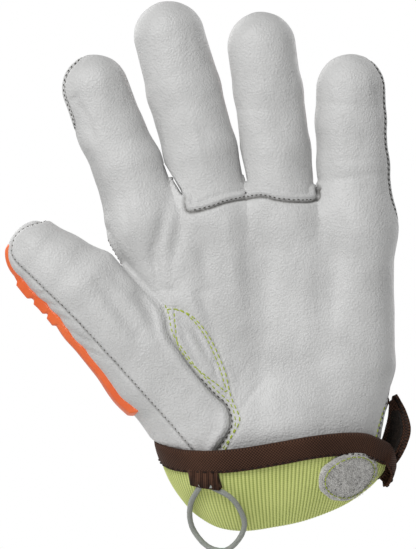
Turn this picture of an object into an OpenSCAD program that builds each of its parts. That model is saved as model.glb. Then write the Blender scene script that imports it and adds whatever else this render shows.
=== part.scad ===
// Impact-protection work glove, left hand, standing as it is worn, cuff turned back.
// Millimetres. +Z runs from the wrist to the fingers, -Y is the way the palm faces,
// and the origin is the centre of the opening that the hand goes in through.

/* [Layers] */
// Thickness of the leather
leather = 1.2; // [0.8:0.1:1.5]
// Thickness of the knitted lining
lining = 1.0; // [0.6:0.1:1.2]

/* [Digits] */
// Half the width of a finger where it is widest
finger_r = 15.2; // [14.6:0.1:15.3]
// Depth of a finger over its width
finger_depth = 0.82; // [0.75:0.01:0.9]
// Index finger, from its fork to its tip
index_len = 69; // [66:1:74]
// Middle finger
middle_len = 91; // [84:1:96]
// Ring finger
ring_len = 84; // [78:1:88]
// Little finger
little_len = 64; // [60:1:68]
// Thumb, from its fork to its tip
thumb_len = 58; // [56:1:62]

/* [Bending] */
// How far a finger bends at its base, degrees
base_bend = 60; // [30:5:60]
// How far a finger bends at its middle, degrees
middle_bend = 70; // [30:5:70]
// How far the thumb bends at its base, degrees
thumb_base_bend = 35; // [20:5:35]
// How far the thumb bends at its middle, degrees
thumb_middle_bend = 55; // [30:5:55]

/* [Cuff] */
// Height of the turned-back part of the cuff
turnback = 44; // [38:1:46]
// Half the width of the opening at the fold
opening_a = 37; // [36:1:39]
// Half the depth of the opening at the fold
opening_b = 28; // [26:1:29]
// Half the width of the turned-back edge
rim_a = 52; // [51:1:54]
// Half the depth of the turned-back edge
rim_b = 39; // [38:1:41]
// Width of the binding tape
binding_w = 9; // [7:0.5:11]
// Diameter of the hook-and-loop patches
patch_d = 26; // [22:1:28]
// Thickness of the elastic hanging loop
loop_d = 2.4; // [2:0.2:3]

/* [Guards] */
// How far the rubber guards stand off the leather
guard_h = 3.4; // [2.5:0.1:3.6]
// Half the width of a finger guard
guard_w = 9; // [7:0.5:10]

/* [Hidden] */
FINGERS = ["index", "middle", "ring", "little"];
ALL_DIGITS = concat(FINGERS, ["thumb"]);
LAYERS = ["front", "back", "liner", "guard"];
SEGMENTS = ["lower", "upper"];

gap = 0.35;             // room between parts that move past each other
fit = 0.15;             // room between layers that lie on each other
seam = 0.06;            // room between two panels sewn edge to edge
stack = leather + fit + lining; // the turned-back cuff's two layers together
big = 400;              // larger than the glove in every direction
hand_y = -18;           // the mid-plane of the hand, forward of the wrist's centre
cuff_lean = 25;         // the wrist leans forward by this angle as it rises
cuff_slope = 7;         // and its thumb side sits lower by this one
tab_stand_out = 17;     // the closure tab stands out from the wrist by this angle
rim_shift = 6;          // the turned-back edge sits this far towards the little finger
$fn = 22;

// A digit: name, fork [x, y, z], lean towards the thumb, roll about its own length,
// length, base radius, tip radius, hinge heights above the fork, bends, depth ratio.
DIGITS = [
    ["index",  [-64, hand_y, 139], 21, 0, index_len,  finger_r + 0.3, finger_r - 0.6,
        [11, 35], [base_bend, middle_bend], finger_depth],
    ["middle", [-31, hand_y, 139], 15, 0, middle_len, finger_r,       finger_r - 0.3,
        [12, 48], [base_bend, middle_bend], finger_depth],
    ["ring",   [0, hand_y, 140],    8, 0, ring_len,   finger_r - 0.3, finger_r - 0.5,
        [12, 44], [base_bend, middle_bend], finger_depth],
    ["little", [32.5, hand_y, 140], 2, 0, little_len, finger_r + 0.2, finger_r - 0.4,
        [11, 34], [base_bend, middle_bend], finger_depth],
    ["thumb",  [-79, hand_y - 10, 86], 47, 45, thumb_len, 18.5, 13.8,
        [10, 33], [thumb_base_bend, thumb_middle_bend], 0.86],
];

function digit(name) = [for (d = DIGITS) if (d[0] == name) d][0];

// The edge of the thumb panel, from the thumb's crotch down to the hem, then round the
// outside of the thumb. In the plane of the hand, [x, z].
THUMB_ZONE = [
    [-66, 107], [-52, 91], [-48, 79], [-34, 59], [-23, 47], [-21, 40], [-28, 26],
    [-36, -40], [-170, -40], [-170, 205],
];

// The far edge of the reinforcing gusset that lies between the thumb and the palm.
GUSSET_EDGE = [
    [-22, 26], [-15, 40], [-17, 49], [-20, 59], [-25, 71], [-31, 82], [-40, 90],
];

// Where the hanging loop runs over the cuff's lining, as [angle round the cuff, height].
LOOP_ROUTE = [
    [-131, 31.5], [-135, 27], [-143, 19], [-150, 9], [-150, 1], [-139, -5], [-124, -5],
    [-113, 2], [-108, 11], [-110, 20], [-115, 27], [-125, 31.5],
];

// ---- building blocks -------------------------------------------------------------

// A ball squeezed in depth.
module blob(at, r, depth = 1) {
    translate(at) scale([1, depth, 1]) sphere(r = r);
}

// Turns a tree of smooth hulls into one closed mesh, at its own size.
module skin() {
    resize([0, 0, 0]) children();
}

// Puts its children in a digit's own frame: +Z along it, -Y towards its pad.
module along(d) {
    translate(d[1]) rotate([0, -d[2], 0]) rotate([0, 0, d[3]]) children();
}

// The solid outer form of a digit, shrunk by `inset`, from below its fork to its tip.
module digit_form(d, inset = 0) {
    scale([1, d[9], 1]) hull() {
        translate([0, 0, -16]) sphere(r = d[5] - inset);
        translate([0, 0, d[4] - d[6]]) sphere(r = d[6] - inset);
    }
}

// The part of a digit between two cuts. Each cut is flat behind the hinge and slopes
// away in front of it by half the bend, which leaves a V for the leather's crease.
module between_cuts(low, low_bend, high, high_bend) {
    front = 40;
    across() polygon([
        [front, low], [0, low], [-front, low + front * tan(low_bend / 2)],
        [-front, high - front * tan(high_bend / 2)], [0, high], [front, high],
    ]);
}

module segment_window(d, part) {
    h = d[7];
    b = d[8];
    if (part == "lower") between_cuts(h[0] + gap / 2, b[0], h[1] - gap / 2, b[1]);
    if (part == "upper") between_cuts(h[1] + gap / 2, b[1], big / 2, 0);
    if (part == "stub") between_cuts(-big / 4, 0, h[0] - gap / 2, b[0]);
}

// Everything on one side of a frame's X-Z plane: side -1 is the front, 1 the back.
module half_space(side) {
    translate([-big / 2, side < 0 ? -big - seam / 2 : seam / 2, -big / 2])
        cube([big, big, big]);
}

// An outline in the X-Z plane, cut right through the glove from front to back.
module through() {
    rotate([90, 0, 0]) translate([0, 0, -big / 2]) linear_extrude(big) children();
}

// An outline in the Y-Z plane, cut right across the glove from side to side.
module across() {
    rotate([90, 0, 90]) translate([0, 0, -big / 2]) linear_extrude(big) children();
}

// ---- the digits ------------------------------------------------------------------

module digit_leather(d, part, side) {
    color("gainsboro") along(d) skin() intersection() {
        difference() {
            digit_form(d);
            digit_form(d, leather);
        }
        segment_window(d, part);
        half_space(side);
    }
}

module digit_liner(d, part) {
    color("yellowgreen") along(d) skin() intersection() {
        difference() {
            digit_form(d, leather + fit);
            digit_form(d, leather + fit + lining);
        }
        segment_window(d, part);
    }
}

// A slab that follows a digit's outside, between two distances from the leather.
module digit_slab(d, low, high, half_w, z0, z1) {
    intersection() {
        difference() {
            digit_form(d, -high);
            digit_form(d, -low);
        }
        translate([-half_w, 0, z0]) cube([2 * half_w, big, z1 - z0]);
    }
}

// A rubber guard on the back of a digit segment: a base with raised ribs across it.
module digit_guard(d, part) {
    h = d[7];
    lower = part == "lower";
    margin = 3;
    z0 = (lower ? h[0] : h[1]) + margin;
    z1 = lower ? h[1] - margin : d[4] - 11;
    ribs = lower ? 2 : 3;
    pitch = (z1 - z0) / ribs;
    color("orangered") along(d) skin() union() {
        digit_slab(d, fit, guard_h * 0.5, guard_w, z0, z1);
        for (i = [0 : ribs - 1])
            digit_slab(d, fit, guard_h, guard_w - 1.5,
                z0 + (i + 0.15) * pitch, z0 + (i + 0.85) * pitch);
    }
}

module digit_part(name, layer, part) {
    d = digit(name);
    if (layer == "front") digit_leather(d, part, -1);
    if (layer == "back") digit_leather(d, part, 1);
    if (layer == "liner") digit_liner(d, part);
    if (layer == "guard") digit_guard(d, part);
}

// ---- the hand --------------------------------------------------------------------

// The frame of the cuff: +Z up the wrist, -Y towards the palm side.
module cuff_frame() {
    rotate([cuff_lean, 0, 0]) rotate([0, -cuff_slope, 0]) children();
}

// An oval slice of the wrist or cuff, `h` above the fold.
module oval(a, b, h) {
    translate([0, 0, h]) scale([a, b, 1]) cylinder(r = 1, h = 0.02, $fn = 32);
}

// The two sides of the heel of the hand, shrunk by `inset`.
module heel_blobs(inset) {
    blob([32, hand_y, 68], 21 - inset, 0.9);
    blob([-36, hand_y + 1, 62], 17 - inset, 0.95);
}

// The solid outer form of the palm and wrist, shrunk by `inset`.
module palm_form(inset = 0) {
    wrist_z = 14;
    hem_z = inset > leather / 2 ? -1 : 0;
    hull() {
        blob([-66, hand_y, 128], 17 - inset, 0.86);
        blob([33.5, hand_y, 128], 17 - inset, 0.86);
        heel_blobs(inset);
    }
    hull() {
        heel_blobs(inset);
        cuff_frame() oval(opening_a + 2 - inset, opening_b - inset, wrist_z);
    }
    cuff_frame() hull() {
        oval(opening_a + 2 - inset, opening_b - inset, wrist_z + 0.01);
        oval(opening_a - inset, opening_b - inset, hem_z);
    }
}

// The ball of the thumb, between the thumb and the palm.
module thumb_root_form(inset = 0) {
    d = digit("thumb");
    hull() {
        along(d) translate([0, 0, -6]) scale([1, d[9], 1]) sphere(r = d[5] - inset);
        blob([-50, hand_y - 5, 58], 19 - inset, 0.95);
    }
}

// The whole hand with its digits' stubs, which end at their base hinges.
module hand_form(inset = 0) {
    palm_form(inset);
    thumb_root_form(inset);
    for (n = ALL_DIGITS) let (d = digit(n)) along(d) intersection() {
        digit_form(d, inset);
        segment_window(d, "stub");
    }
}

// What is hollow inside it: the same with every digit left whole, so each stub is open.
module hand_hollow(inset) {
    palm_form(inset);
    thumb_root_form(inset);
    for (n = ALL_DIGITS) along(digit(n)) digit_form(digit(n), inset);
}

module hand_shell(outer, inner) {
    difference() {
        hand_form(outer);
        hand_hollow(inner);
    }
}

// The palm side (-1) or the back (1) of the hand, parted along its side seams, which
// follow the wrist as it leans.
module hand_half(side) {
    far = side * big / 2;
    across() offset(delta = -seam / 2) polygon([
        [far, big / 2], [hand_y, big / 2], [hand_y, 60], [0, 0], [35, -80], [far, -80],
    ]);
}

module thumb_zone() {
    through() offset(delta = -seam / 2) polygon(THUMB_ZONE);
}

module outside_thumb_zone() {
    through() difference() {
        square(big, center = true);
        offset(delta = seam / 2) polygon(THUMB_ZONE);
    }
}

// The gusset reaches from the edge of the thumb panel to GUSSET_EDGE.
module gusset_zone(grow) {
    through() offset(delta = grow) polygon(concat(
        [for (i = [1 : 6]) THUMB_ZONE[i]], GUSSET_EDGE));
}

module palm_panel() {
    color("lightgray") skin() difference() {
        intersection() {
            hand_shell(0, leather);
            hand_half(-1);
            outside_thumb_zone();
        }
        gusset_zone(seam);
    }
}

module back_panel() {
    color("lightgray") skin() intersection() {
        hand_shell(0, leather);
        hand_half(1);
        outside_thumb_zone();
    }
}

module thumb_gusset() {
    color("silver") skin() intersection() {
        hand_shell(0, leather);
        hand_half(-1);
        outside_thumb_zone();
        gusset_zone(0);
    }
}

module thumb_half(side) {
    color("gainsboro") skin() intersection() {
        hand_shell(0, leather);
        thumb_zone();
        along(digit("thumb")) half_space(side);
    }
}

module hand_liner() {
    color("yellowgreen") skin() hand_shell(leather + fit, leather + fit + lining);
}

// ---- guards on the back of the hand ----------------------------------------------

// A slab on the back of the hand inside an outline, `high` above the leather.
module hand_slab(high, outline) {
    intersection() {
        hand_shell(-high, -fit);
        hand_half(1);
        through() polygon(outline);
    }
}

function box_outline(x0, x1, z0, z1) = [[x0, z0], [x1, z0], [x1, z1], [x0, z1]];

module knuckle_guard() {
    z0 = 113;
    z1 = 134;
    color("orangered") skin() union() {
        hand_slab(guard_h * 0.5, box_outline(-76, 44, z0, z1));
        for (x = [-62, -32, 0, 31])
            hand_slab(guard_h, box_outline(x - 12, x + 12, z0 + 3, z1 - 3));
    }
}

module hand_guard() {
    z0 = 72;
    z1 = 108;
    color("orangered") skin() union() {
        hand_slab(guard_h * 0.5, box_outline(-34, 42, z0, z1));
        for (x = [-24, 4, 32])
            hand_slab(guard_h, box_outline(x - 6, x + 6, z0 + 3, z1 - 3));
    }
}

module thumb_root_guard() {
    d = digit("thumb");
    color("orangered") skin() intersection() {
        difference() {
            union() {
                thumb_root_form(-guard_h * 0.8);
                along(d) intersection() {
                    digit_form(d, -guard_h * 0.8);
                    segment_window(d, "stub");
                }
            }
            hand_hollow(-fit);
        }
        along(d) translate([-guard_w, 0, -30]) cube([2 * guard_w, big, 37]);
    }
}

// ---- the turned-back cuff --------------------------------------------------------

// Half the width and depth of the turned-back band's inside, and its shift, by height.
function band_a(z) = opening_a + 1 + (rim_a - opening_a - 1) * z / turnback;
function band_b(z) = opening_b + 1 + (rim_b - opening_b - 1) * z / turnback;
function band_x(z) = rim_shift * z / turnback;

// The solid inside of the band, grown by `out`, between two heights.
module band_form(out, z0 = 0, z1 = turnback) {
    hull() for (z = [z0, z1])
        translate([band_x(z), 0, 0]) oval(band_a(z) + out, band_b(z) + out, z);
}

module band_layer(inner, outer, z0 = 0, z1 = turnback) {
    difference() {
        band_form(outer, z0, z1);
        band_form(inner, z0 - 1, z1 + 1);
    }
}

// The part of the cuff between two angles, counted from the little-finger side.
module sector(from, to) {
    steps = 6;
    translate([0, 0, -big / 4]) linear_extrude(big) offset(delta = -seam)
        polygon(concat([[0, 0]], [for (i = [0 : steps])
            let (t = from + (to - from) * i / steps) big / 2 * [cos(t), sin(t)]]));
}

FRONT_SECTOR = [-184, -16]; // the palm-side band, up to the slit
BACK_SECTOR = [20, 176];    // the back band, up to the closure tab

module cuff_layer(inner, outer, span, z0 = 0, z1 = turnback) {
    intersection() {
        band_layer(inner, outer, z0, z1);
        sector(span[0], span[1]);
    }
}

module cuff_shell(span) {
    color("saddlebrown") cuff_frame() skin() cuff_layer(0, leather, span);
}

module cuff_lining(span) {
    color("yellowgreen") cuff_frame() skin() cuff_layer(leather + fit, stack, span);
}

// Tape folded over the free edge of the band, on both of its faces.
module cuff_binding(span) {
    tape = 0.8;
    color("sienna") cuff_frame() skin() difference() {
        cuff_layer(-fit - tape, stack + fit + tape, span,
            turnback - binding_w, turnback + tape + fit);
        band_layer(-fit, stack + fit, turnback - binding_w - 1, turnback + fit);
    }
}

// A point `out` from the inside of the band.
function band_point(turn, z, out = 0) = [
    band_x(z) + (band_a(z) + out) * cos(turn), (band_b(z) + out) * sin(turn), z];

// The closure tab's frame: +Z up its hinge line on the back band's edge, -Y across the
// tab, which stands out from the wrist.
module tab_frame() {
    foot = band_point(BACK_SECTOR[0], 0);
    line = band_point(BACK_SECTOR[0], turnback) - foot;
    cuff_frame() translate(foot) rotate([0, acos(line[2] / norm(line)),
        atan2(line[1], line[0])]) rotate([0, 0, tab_stand_out]) children();
}

// A plate in that frame, from one distance out to another, inside an outline [y, z].
module tab_plate(inner, outer, outline) {
    tab_frame() translate([inner, 0, 0]) rotate([90, 0, 90])
        linear_extrude(outer - inner) polygon(outline);
}

// The corner of the back band that closes the slit.
module closure_tab() {
    color("saddlebrown") tab_plate(0, stack,
        [[-0.8, 6], [-9, 10], [-15, 28], [-10, 46], [-0.8, 50]]);
}

// A round patch that lies on the band, at an angle and height.
module patch(turn, height, inner, outer, span) {
    cuff_frame() skin() intersection() {
        cuff_layer(inner, outer, span, 1, turnback - binding_w - 1);
        rotate([0, 0, turn]) translate([0, 0, height]) rotate([0, 90, 0])
            cylinder(d = patch_d, h = big, $fn = 24);
    }
}

module loop_patch() {
    color("silver") patch(-47, turnback * 0.45, stack + fit, stack + fit + 1.2, FRONT_SECTOR);
}

module hook_patch() {
    color("dimgray") tab_plate(-fit - 1.2, -fit,
        [[-3, 14], [-8, 16], [-11, 28], [-8, 40], [-3, 41]]);
}

// ---- the hanging loop ------------------------------------------------------------

function smooth_at(p0, p1, p2, p3, t) =
    0.5 * (2 * p1 + (p2 - p0) * t + (2 * p0 - 5 * p1 + 4 * p2 - p3) * t * t
        + (3 * p1 - p0 - 3 * p2 + p3) * t * t * t);

// A smooth line through route points, `n` steps between each pair.
function smooth_line(p, n) = let (last = len(p) - 1) concat(
    [for (i = [0 : last - 1], k = [0 : n - 1])
        smooth_at(p[max(i - 1, 0)], p[i], p[i + 1], p[min(i + 2, last)], k / n)],
    [p[last]]);

function unit(v) = v / norm(v);

// Eight points round a cord at one place on its line.
function ring_at(at, ahead, r) =
    let (side = unit(cross(ahead, [0, 1, 0])), up = unit(cross(side, ahead)))
    [for (k = [0 : 7]) at + r * (cos(k * 45) * side + sin(k * 45) * up)];

// A round cord swept along a line, closed at both ends.
module cord(line, r) {
    n = len(line);
    points = [for (i = [0 : n - 1]) each ring_at(line[i],
        unit(line[min(i + 1, n - 1)] - line[max(i - 1, 0)]), r)];
    sides = [for (i = [0 : n - 2], k = [0 : 7]) let (a = i * 8 + k,
        b = i * 8 + (k + 1) % 8) each [[a, b + 8, a + 8], [a, b, b + 8]]];
    polyhedron(points = points, faces = concat(sides,
        [[for (k = [7 : -1 : 0]) k]], [[for (k = [0 : 7]) (n - 1) * 8 + k]]));
}

// The short tape under the binding that holds both ends of the loop.
module loop_anchor() {
    anchor_h = 4;
    top = turnback - binding_w - gap;
    color("sienna") cuff_frame() skin()
        cuff_layer(stack + fit, stack + fit + loop_d, [-135, -121], top - anchor_h, top);
}

module hanging_loop() {
    out = stack + 2 * fit + loop_d / 2;
    route = [for (p = LOOP_ROUTE) band_point(p[0], p[1], out)];
    color("darkgray") cuff_frame() cord(smooth_line(route, 4), loop_d / 2);
}

// ---- every part ------------------------------------------------------------------

palm_panel();
back_panel();
hand_liner();
thumb_half(-1);  // thumb_panel
thumb_half(1);  // thumb_back_panel
thumb_gusset();
knuckle_guard();
hand_guard();
thumb_root_guard();
cuff_shell(FRONT_SECTOR);  // cuff_front_shell
cuff_lining(FRONT_SECTOR);  // cuff_front_lining
cuff_binding(FRONT_SECTOR);  // cuff_front_binding
cuff_shell(BACK_SECTOR);  // cuff_back_shell
cuff_lining(BACK_SECTOR);  // cuff_back_lining
cuff_binding(BACK_SECTOR);  // cuff_back_binding
closure_tab();
hook_patch();
loop_patch();
loop_anchor();
hanging_loop();

for (f = ALL_DIGITS, layer = LAYERS, s = SEGMENTS) {
    digit_part(f, layer, s);
}
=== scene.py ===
"""Looks of a left goatskin work glove with a turned-back knitted cuff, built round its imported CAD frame.

Lengths are millimetres in the frame's own axes until a mesh is made: X towards the little finger,
Y towards the back of the hand, Z along the fingers.
"""

import math

import bmesh
import bpy
import numpy as np
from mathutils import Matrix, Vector, noise


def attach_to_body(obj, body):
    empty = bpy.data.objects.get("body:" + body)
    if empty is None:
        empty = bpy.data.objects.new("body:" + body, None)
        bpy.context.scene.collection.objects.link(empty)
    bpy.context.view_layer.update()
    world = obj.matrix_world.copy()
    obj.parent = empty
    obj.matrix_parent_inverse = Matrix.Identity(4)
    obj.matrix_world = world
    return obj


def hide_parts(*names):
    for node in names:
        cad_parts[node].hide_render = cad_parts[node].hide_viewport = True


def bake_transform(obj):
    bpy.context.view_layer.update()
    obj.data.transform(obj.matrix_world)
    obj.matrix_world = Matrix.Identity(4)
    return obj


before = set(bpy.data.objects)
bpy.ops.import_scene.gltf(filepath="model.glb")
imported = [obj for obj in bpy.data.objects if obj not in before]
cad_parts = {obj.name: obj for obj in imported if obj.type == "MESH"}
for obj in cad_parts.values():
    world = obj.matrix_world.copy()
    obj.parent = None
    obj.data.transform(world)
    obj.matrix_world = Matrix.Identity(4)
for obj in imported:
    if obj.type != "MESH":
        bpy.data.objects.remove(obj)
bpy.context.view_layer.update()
MM = 0.001
random = np.random.default_rng(7)


# ---------------------------------------------------------------- camera, light and floor

VIEW_H = 549
VIEW_SCALE = 0.45
VIEW_AIM = (-30.1, -20.0, 106.0)
VIEW_DISTANCE = 2000.0
SENSOR = 36.0

HAND_CENTRE = (-0.03, -0.02, 0.1)
GLOW = 0.28
# Each light, in metres and watts: its name, its place, its size and its power.
LIGHTS = [
    ("key", (-0.55, -0.9, 0.75), 0.5, 10.5),
    ("fill", (0.9, -0.7, 0.2), 0.9, 0.7),
    ("back_left", (-0.7, 0.8, 0.6), 0.9, 6),
    ("back_right", (0.7, 0.8, 0.5), 0.9, 5),
]
FLOOR_RADIUS, FLOOR_Z, FLOOR_SIDES = 0.45, -0.06, 96


def make_camera():
    """A long lens square on to the palm, as the photograph was taken."""
    data = bpy.data.cameras.new("camera")
    data.sensor_width = SENSOR
    data.lens = SENSOR * VIEW_DISTANCE / (VIEW_H * VIEW_SCALE)
    data.clip_end = 20.0
    camera = bpy.data.objects.new("camera", data)
    camera.location = Vector(VIEW_AIM) * MM + Vector((0, -VIEW_DISTANCE * MM, 0))
    camera.rotation_euler = (math.radians(90), 0, 0)
    bpy.context.scene.collection.objects.link(camera)
    bpy.context.scene.camera = camera


def soft_light(name, place, size, power):
    """A square area light that faces the hand."""
    data = bpy.data.lights.new(name, "AREA")
    data.size = size
    data.energy = power
    light = bpy.data.objects.new(name, data)
    light.location = place
    light.rotation_euler = (Vector(HAND_CENTRE) - Vector(place)).to_track_quat("-Z", "Y").to_euler()
    bpy.context.scene.collection.objects.link(light)


def make_world():
    """White to the camera, and a softer even glow to the glove."""
    world = bpy.data.worlds.new("studio")
    bpy.context.scene.world = world
    world.use_nodes = True
    tree = world.node_tree
    path = tree.nodes.new("ShaderNodeLightPath")
    glow = tree.nodes["Background"]
    white = tree.nodes.new("ShaderNodeBackground")
    for background, strength in ((glow, GLOW), (white, 1.0)):
        background.inputs["Strength"].default_value = strength
        background.inputs["Color"].default_value = (1, 1, 1, 1)
    mix = tree.nodes.new("ShaderNodeMixShader")
    tree.links.new(path.outputs["Is Camera Ray"], mix.inputs[0])
    tree.links.new(glow.outputs[0], mix.inputs[1])
    tree.links.new(white.outputs[0], mix.inputs[2])
    tree.links.new(mix.outputs[0], tree.nodes["World Output"].inputs["Surface"])


make_camera()
make_world()
for light in LIGHTS:
    soft_light(*light)
bpy.context.scene.view_settings.view_transform = "Standard"


# ---------------------------------------------------------------- small helpers


def smooth_min(a, b, width):
    """The lower of two fields, with the corner between them rounded over a width."""
    near = np.maximum(width - np.abs(a - b), 0) / width
    return np.minimum(a, b) - near * near * width / 4


def smooth_step(value, low, high):
    """0 below low, 1 above high, and a soft rise between."""
    share = np.clip((value - low) / (high - low), 0, 1)
    return share * share * (3 - 2 * share)


def bell(distance, width):
    """1 at no distance and nearly 0 at twice the width."""
    return np.exp(-((distance / width) ** 2))


def smooth_line(points, steps=6):
    """A Catmull-Rom curve through points, as an array."""
    points = np.array(points, float)
    padded = np.vstack([2 * points[0] - points[1], points, 2 * points[-1] - points[-2]])
    made = []
    for a, b, c, d in zip(padded, padded[1:], padded[2:], padded[3:]):
        for share in np.arange(steps) / steps:
            made.append(
                b
                + (c - a) * share / 2
                + (2 * a - 5 * b + 4 * c - d) * share**2 / 2
                + (3 * b - a - 3 * c + d) * share**3 / 2
            )
    return np.array([*made, points[-1]])


def run_length(points):
    """How far along a line each of its points lies."""
    return np.concatenate([[0], np.cumsum(np.linalg.norm(np.diff(points, axis=0), axis=1))])


def unit_rows(vectors):
    """Each row of an array at length one."""
    return vectors / np.linalg.norm(vectors, axis=1)[:, None]


def face_edges(faces):
    """The three edges of every triangle, as pairs of points."""
    return np.vstack([faces[:, (0, 1)], faces[:, (1, 2)], faces[:, (2, 0)]])


def ring_faces(rings, sides, first=0):
    """Quads between rings of points that follow each other, and one face over each end."""
    faces = []
    for ring in range(rings - 1):
        start = first + ring * sides
        for k in range(sides):
            a, b = start + k, start + (k + 1) % sides
            faces.append((a, b, b + sides, a + sides))
    last = first + (rings - 1) * sides
    faces.append(tuple(range(first + sides - 1, first - 1, -1)))
    faces.append(tuple(range(last, last + sides)))
    return faces


def side_of_line(x, z, line):
    """Distance from a line in the X-Z plane: positive on the right of its direction."""
    best = np.full(len(x), 1e9)
    signed = np.zeros(len(x))
    for (ax, az), (bx, bz) in zip(line, line[1:]):
        dx, dz = bx - ax, bz - az
        length = math.hypot(dx, dz)
        share = np.clip(((x - ax) * dx + (z - az) * dz) / length**2, 0, 1)
        away = np.hypot(x - ax - share * dx, z - az - share * dz)
        across = ((z - az) * dx - (x - ax) * dz) / length
        nearer = away < best - 1e-9
        best = np.where(nearer, away, best)
        signed = np.where(nearer, np.where(across > 0, -away, away), signed)
    return signed


# ---------------------------------------------------------------- the hand's form

HAND_Y = -18.0

# Each digit: its fork, lean towards the thumb and roll, and its two hinges above the fork.
FRAMES = {
    "index": ((-64, -18, 139), 21, 0, (11, 35)),
    "middle": ((-31, -18, 139), 15, 0, (12, 48)),
    "ring": ((0, -18, 140), 8, 0, (12, 44)),
    "little": ((32.5, -18, 140), 2, 0, (11, 34)),
    "thumb": ((-79, -28, 86), 47, 45, (10, 33)),
}
FINGERS = ("index", "middle", "ring", "little")
DIGITS = (*FINGERS, "thumb")

# Centre line and half width of each digit, from the tip down into the palm: (x, y, z, half width).
BONES = {
    "index": [
        (-80.8, -19, 189.8, 14.9), (-73.6, -18, 170, 14.9), (-66.5, -18, 155, 15.4),
        (-58, -18, 128, 16.5),
    ],
    "middle": [
        (-47.5, -19, 213.3, 15.7), (-41, -18, 189, 16.3), (-33.6, -18, 162, 16.1), (-27, -18, 130, 16),
    ],
    "ring": [
        (-6, -19, 208.8, 15.2), (-3, -18, 189, 15.2), (0.5, -18, 162, 15.2), (3, -18, 130, 16),
    ],
    "little": [
        (34.2, -19, 189.8, 15.2), (34.3, -18, 175, 15.6), (35.4, -18, 155, 16), (37, -18, 128, 17),
    ],
    "thumb": [
        (-105.6, -29, 116, 14.3), (-96.5, -29, 109, 16), (-86.8, -28, 101.4, 17.6), (-78, -26, 91, 18.8),
        (-55, -23, 64, 20),
    ],
}
DIGIT_DEPTH = {"index": 0.86, "middle": 0.86, "ring": 0.86, "little": 0.86, "thumb": 0.95}

# The palm and wrist as rays that run from the knuckles to the fold of the cuff.
PALM = [
    [(-58, -18, 127, 16), (-49.5, -18, 107, 16.5), (-42, -18, 62, 17), (-29, -14, 37, 20), (-16, -2, 4, 20)],
    [(-28, -18, 129, 15.5), (-15, -17, 60, 16.5), (-6, -15, 37, 23), (-4, -2, 4, 22)],
    [(3, -18, 129, 15.5), (12, -17, 60, 16.5), (8, -15, 37, 23), (6, -2, 4, 22)],
    [(37.5, -18, 128, 16), (37.3, -18, 66, 16.4), (28, -12, 35, 19.5), (18, -2, 6, 19)],
    [(-55, -23, 64, 19), (-32, -14, 37, 18)],
]
PALM_DEPTH = 0.98
PALM_ROUND = 19.0
ROOT_ROUND = 7.0
THUMB_ROUND = 5.0

# Where two fingers part, the lean of their slit towards the thumb, and its length.
WEBS = [((-41.4, 141.8), 31, 17), ((-12.6, 147.2), 12, 20), ((18.0, 146.2), 2, 30)]
SLIT_HALF = 0.7


def cone_distance(p, a, b, depth):
    """Distance from a round-ended cone that is flattened front to back."""
    start = np.array(a[:3], float)
    run = np.array(b[:3], float) - start
    away = p - start
    share = np.clip(away @ run / (run @ run), 0, 1)
    away = away - share[:, None] * run
    half_width = a[3] + (b[3] - a[3]) * share
    return np.sqrt(away[:, 0] ** 2 + (away[:, 1] / depth) ** 2 + away[:, 2] ** 2) - half_width


def ray_distance(p, stations, depth):
    """Distance from a chain of round-ended cones through stations (x, y, z, half width)."""
    found = None
    for a, b in zip(stations, stations[1:]):
        one = cone_distance(p, a, b, depth)
        found = one if found is None else smooth_min(found, one, 2.0)
    return found


def digit_distance(p, name):
    """Distance from one digit's form."""
    return ray_distance(p, BONES[name], DIGIT_DEPTH[name])


def palm_distance(p):
    """Distance from the palm and wrist."""
    found = None
    for stations in PALM:
        one = ray_distance(p, stations, PALM_DEPTH)
        found = one if found is None else smooth_min(found, one, PALM_ROUND)
    return found


def skin_distance(p, inset=0.0):
    """Distance from the glove's outer skin, less an inset."""
    palm = palm_distance(p)
    found = None
    for name in DIGITS:
        width = THUMB_ROUND if name == "thumb" else ROOT_ROUND
        one = smooth_min(palm, digit_distance(p, name), width)
        found = one if found is None else np.minimum(found, one)
    for (x, z), lean, length in WEBS:
        along = np.array((-math.sin(math.radians(lean)), math.cos(math.radians(lean))))
        rise = (p[:, 0] - x) * along[0] + (p[:, 2] - z) * along[1]
        across = (p[:, 0] - x) * along[1] - (p[:, 2] - z) * along[0]
        slit = np.minimum(SLIT_HALF - np.abs(across), np.minimum(rise, length - rise))
        found = np.maximum(found, slit)
    return found + inset


# ---------------------------------------------------------------- meshing the form

GRID_LOW = np.array((-128.0, -60.0, -4.0))
GRID_HIGH = np.array((62.0, 40.0, 236.0))


def sample_grid(field, step):
    """The field on a grid, exact near its surface and only signed further away."""
    coarse = 4
    count = (np.ceil((GRID_HIGH - GRID_LOW) / step / coarse).astype(int) + 1) * coarse
    rough_axes = []
    for low, cells in zip(GRID_LOW, count // coarse):
        rough_axes.append(low + step * coarse * (np.arange(cells) + 0.5) - step / 2)
    rough = np.stack(np.meshgrid(*rough_axes, indexing="ij"), -1).reshape(-1, 3)
    rough_value = field(rough).reshape(count // coarse)
    value = rough_value.repeat(coarse, 0).repeat(coarse, 1).repeat(coarse, 2)
    near = np.argwhere(np.abs(value) < step * coarse * 1.3)
    value[tuple(near.T)] = field(GRID_LOW + near * step)
    return value


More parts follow.
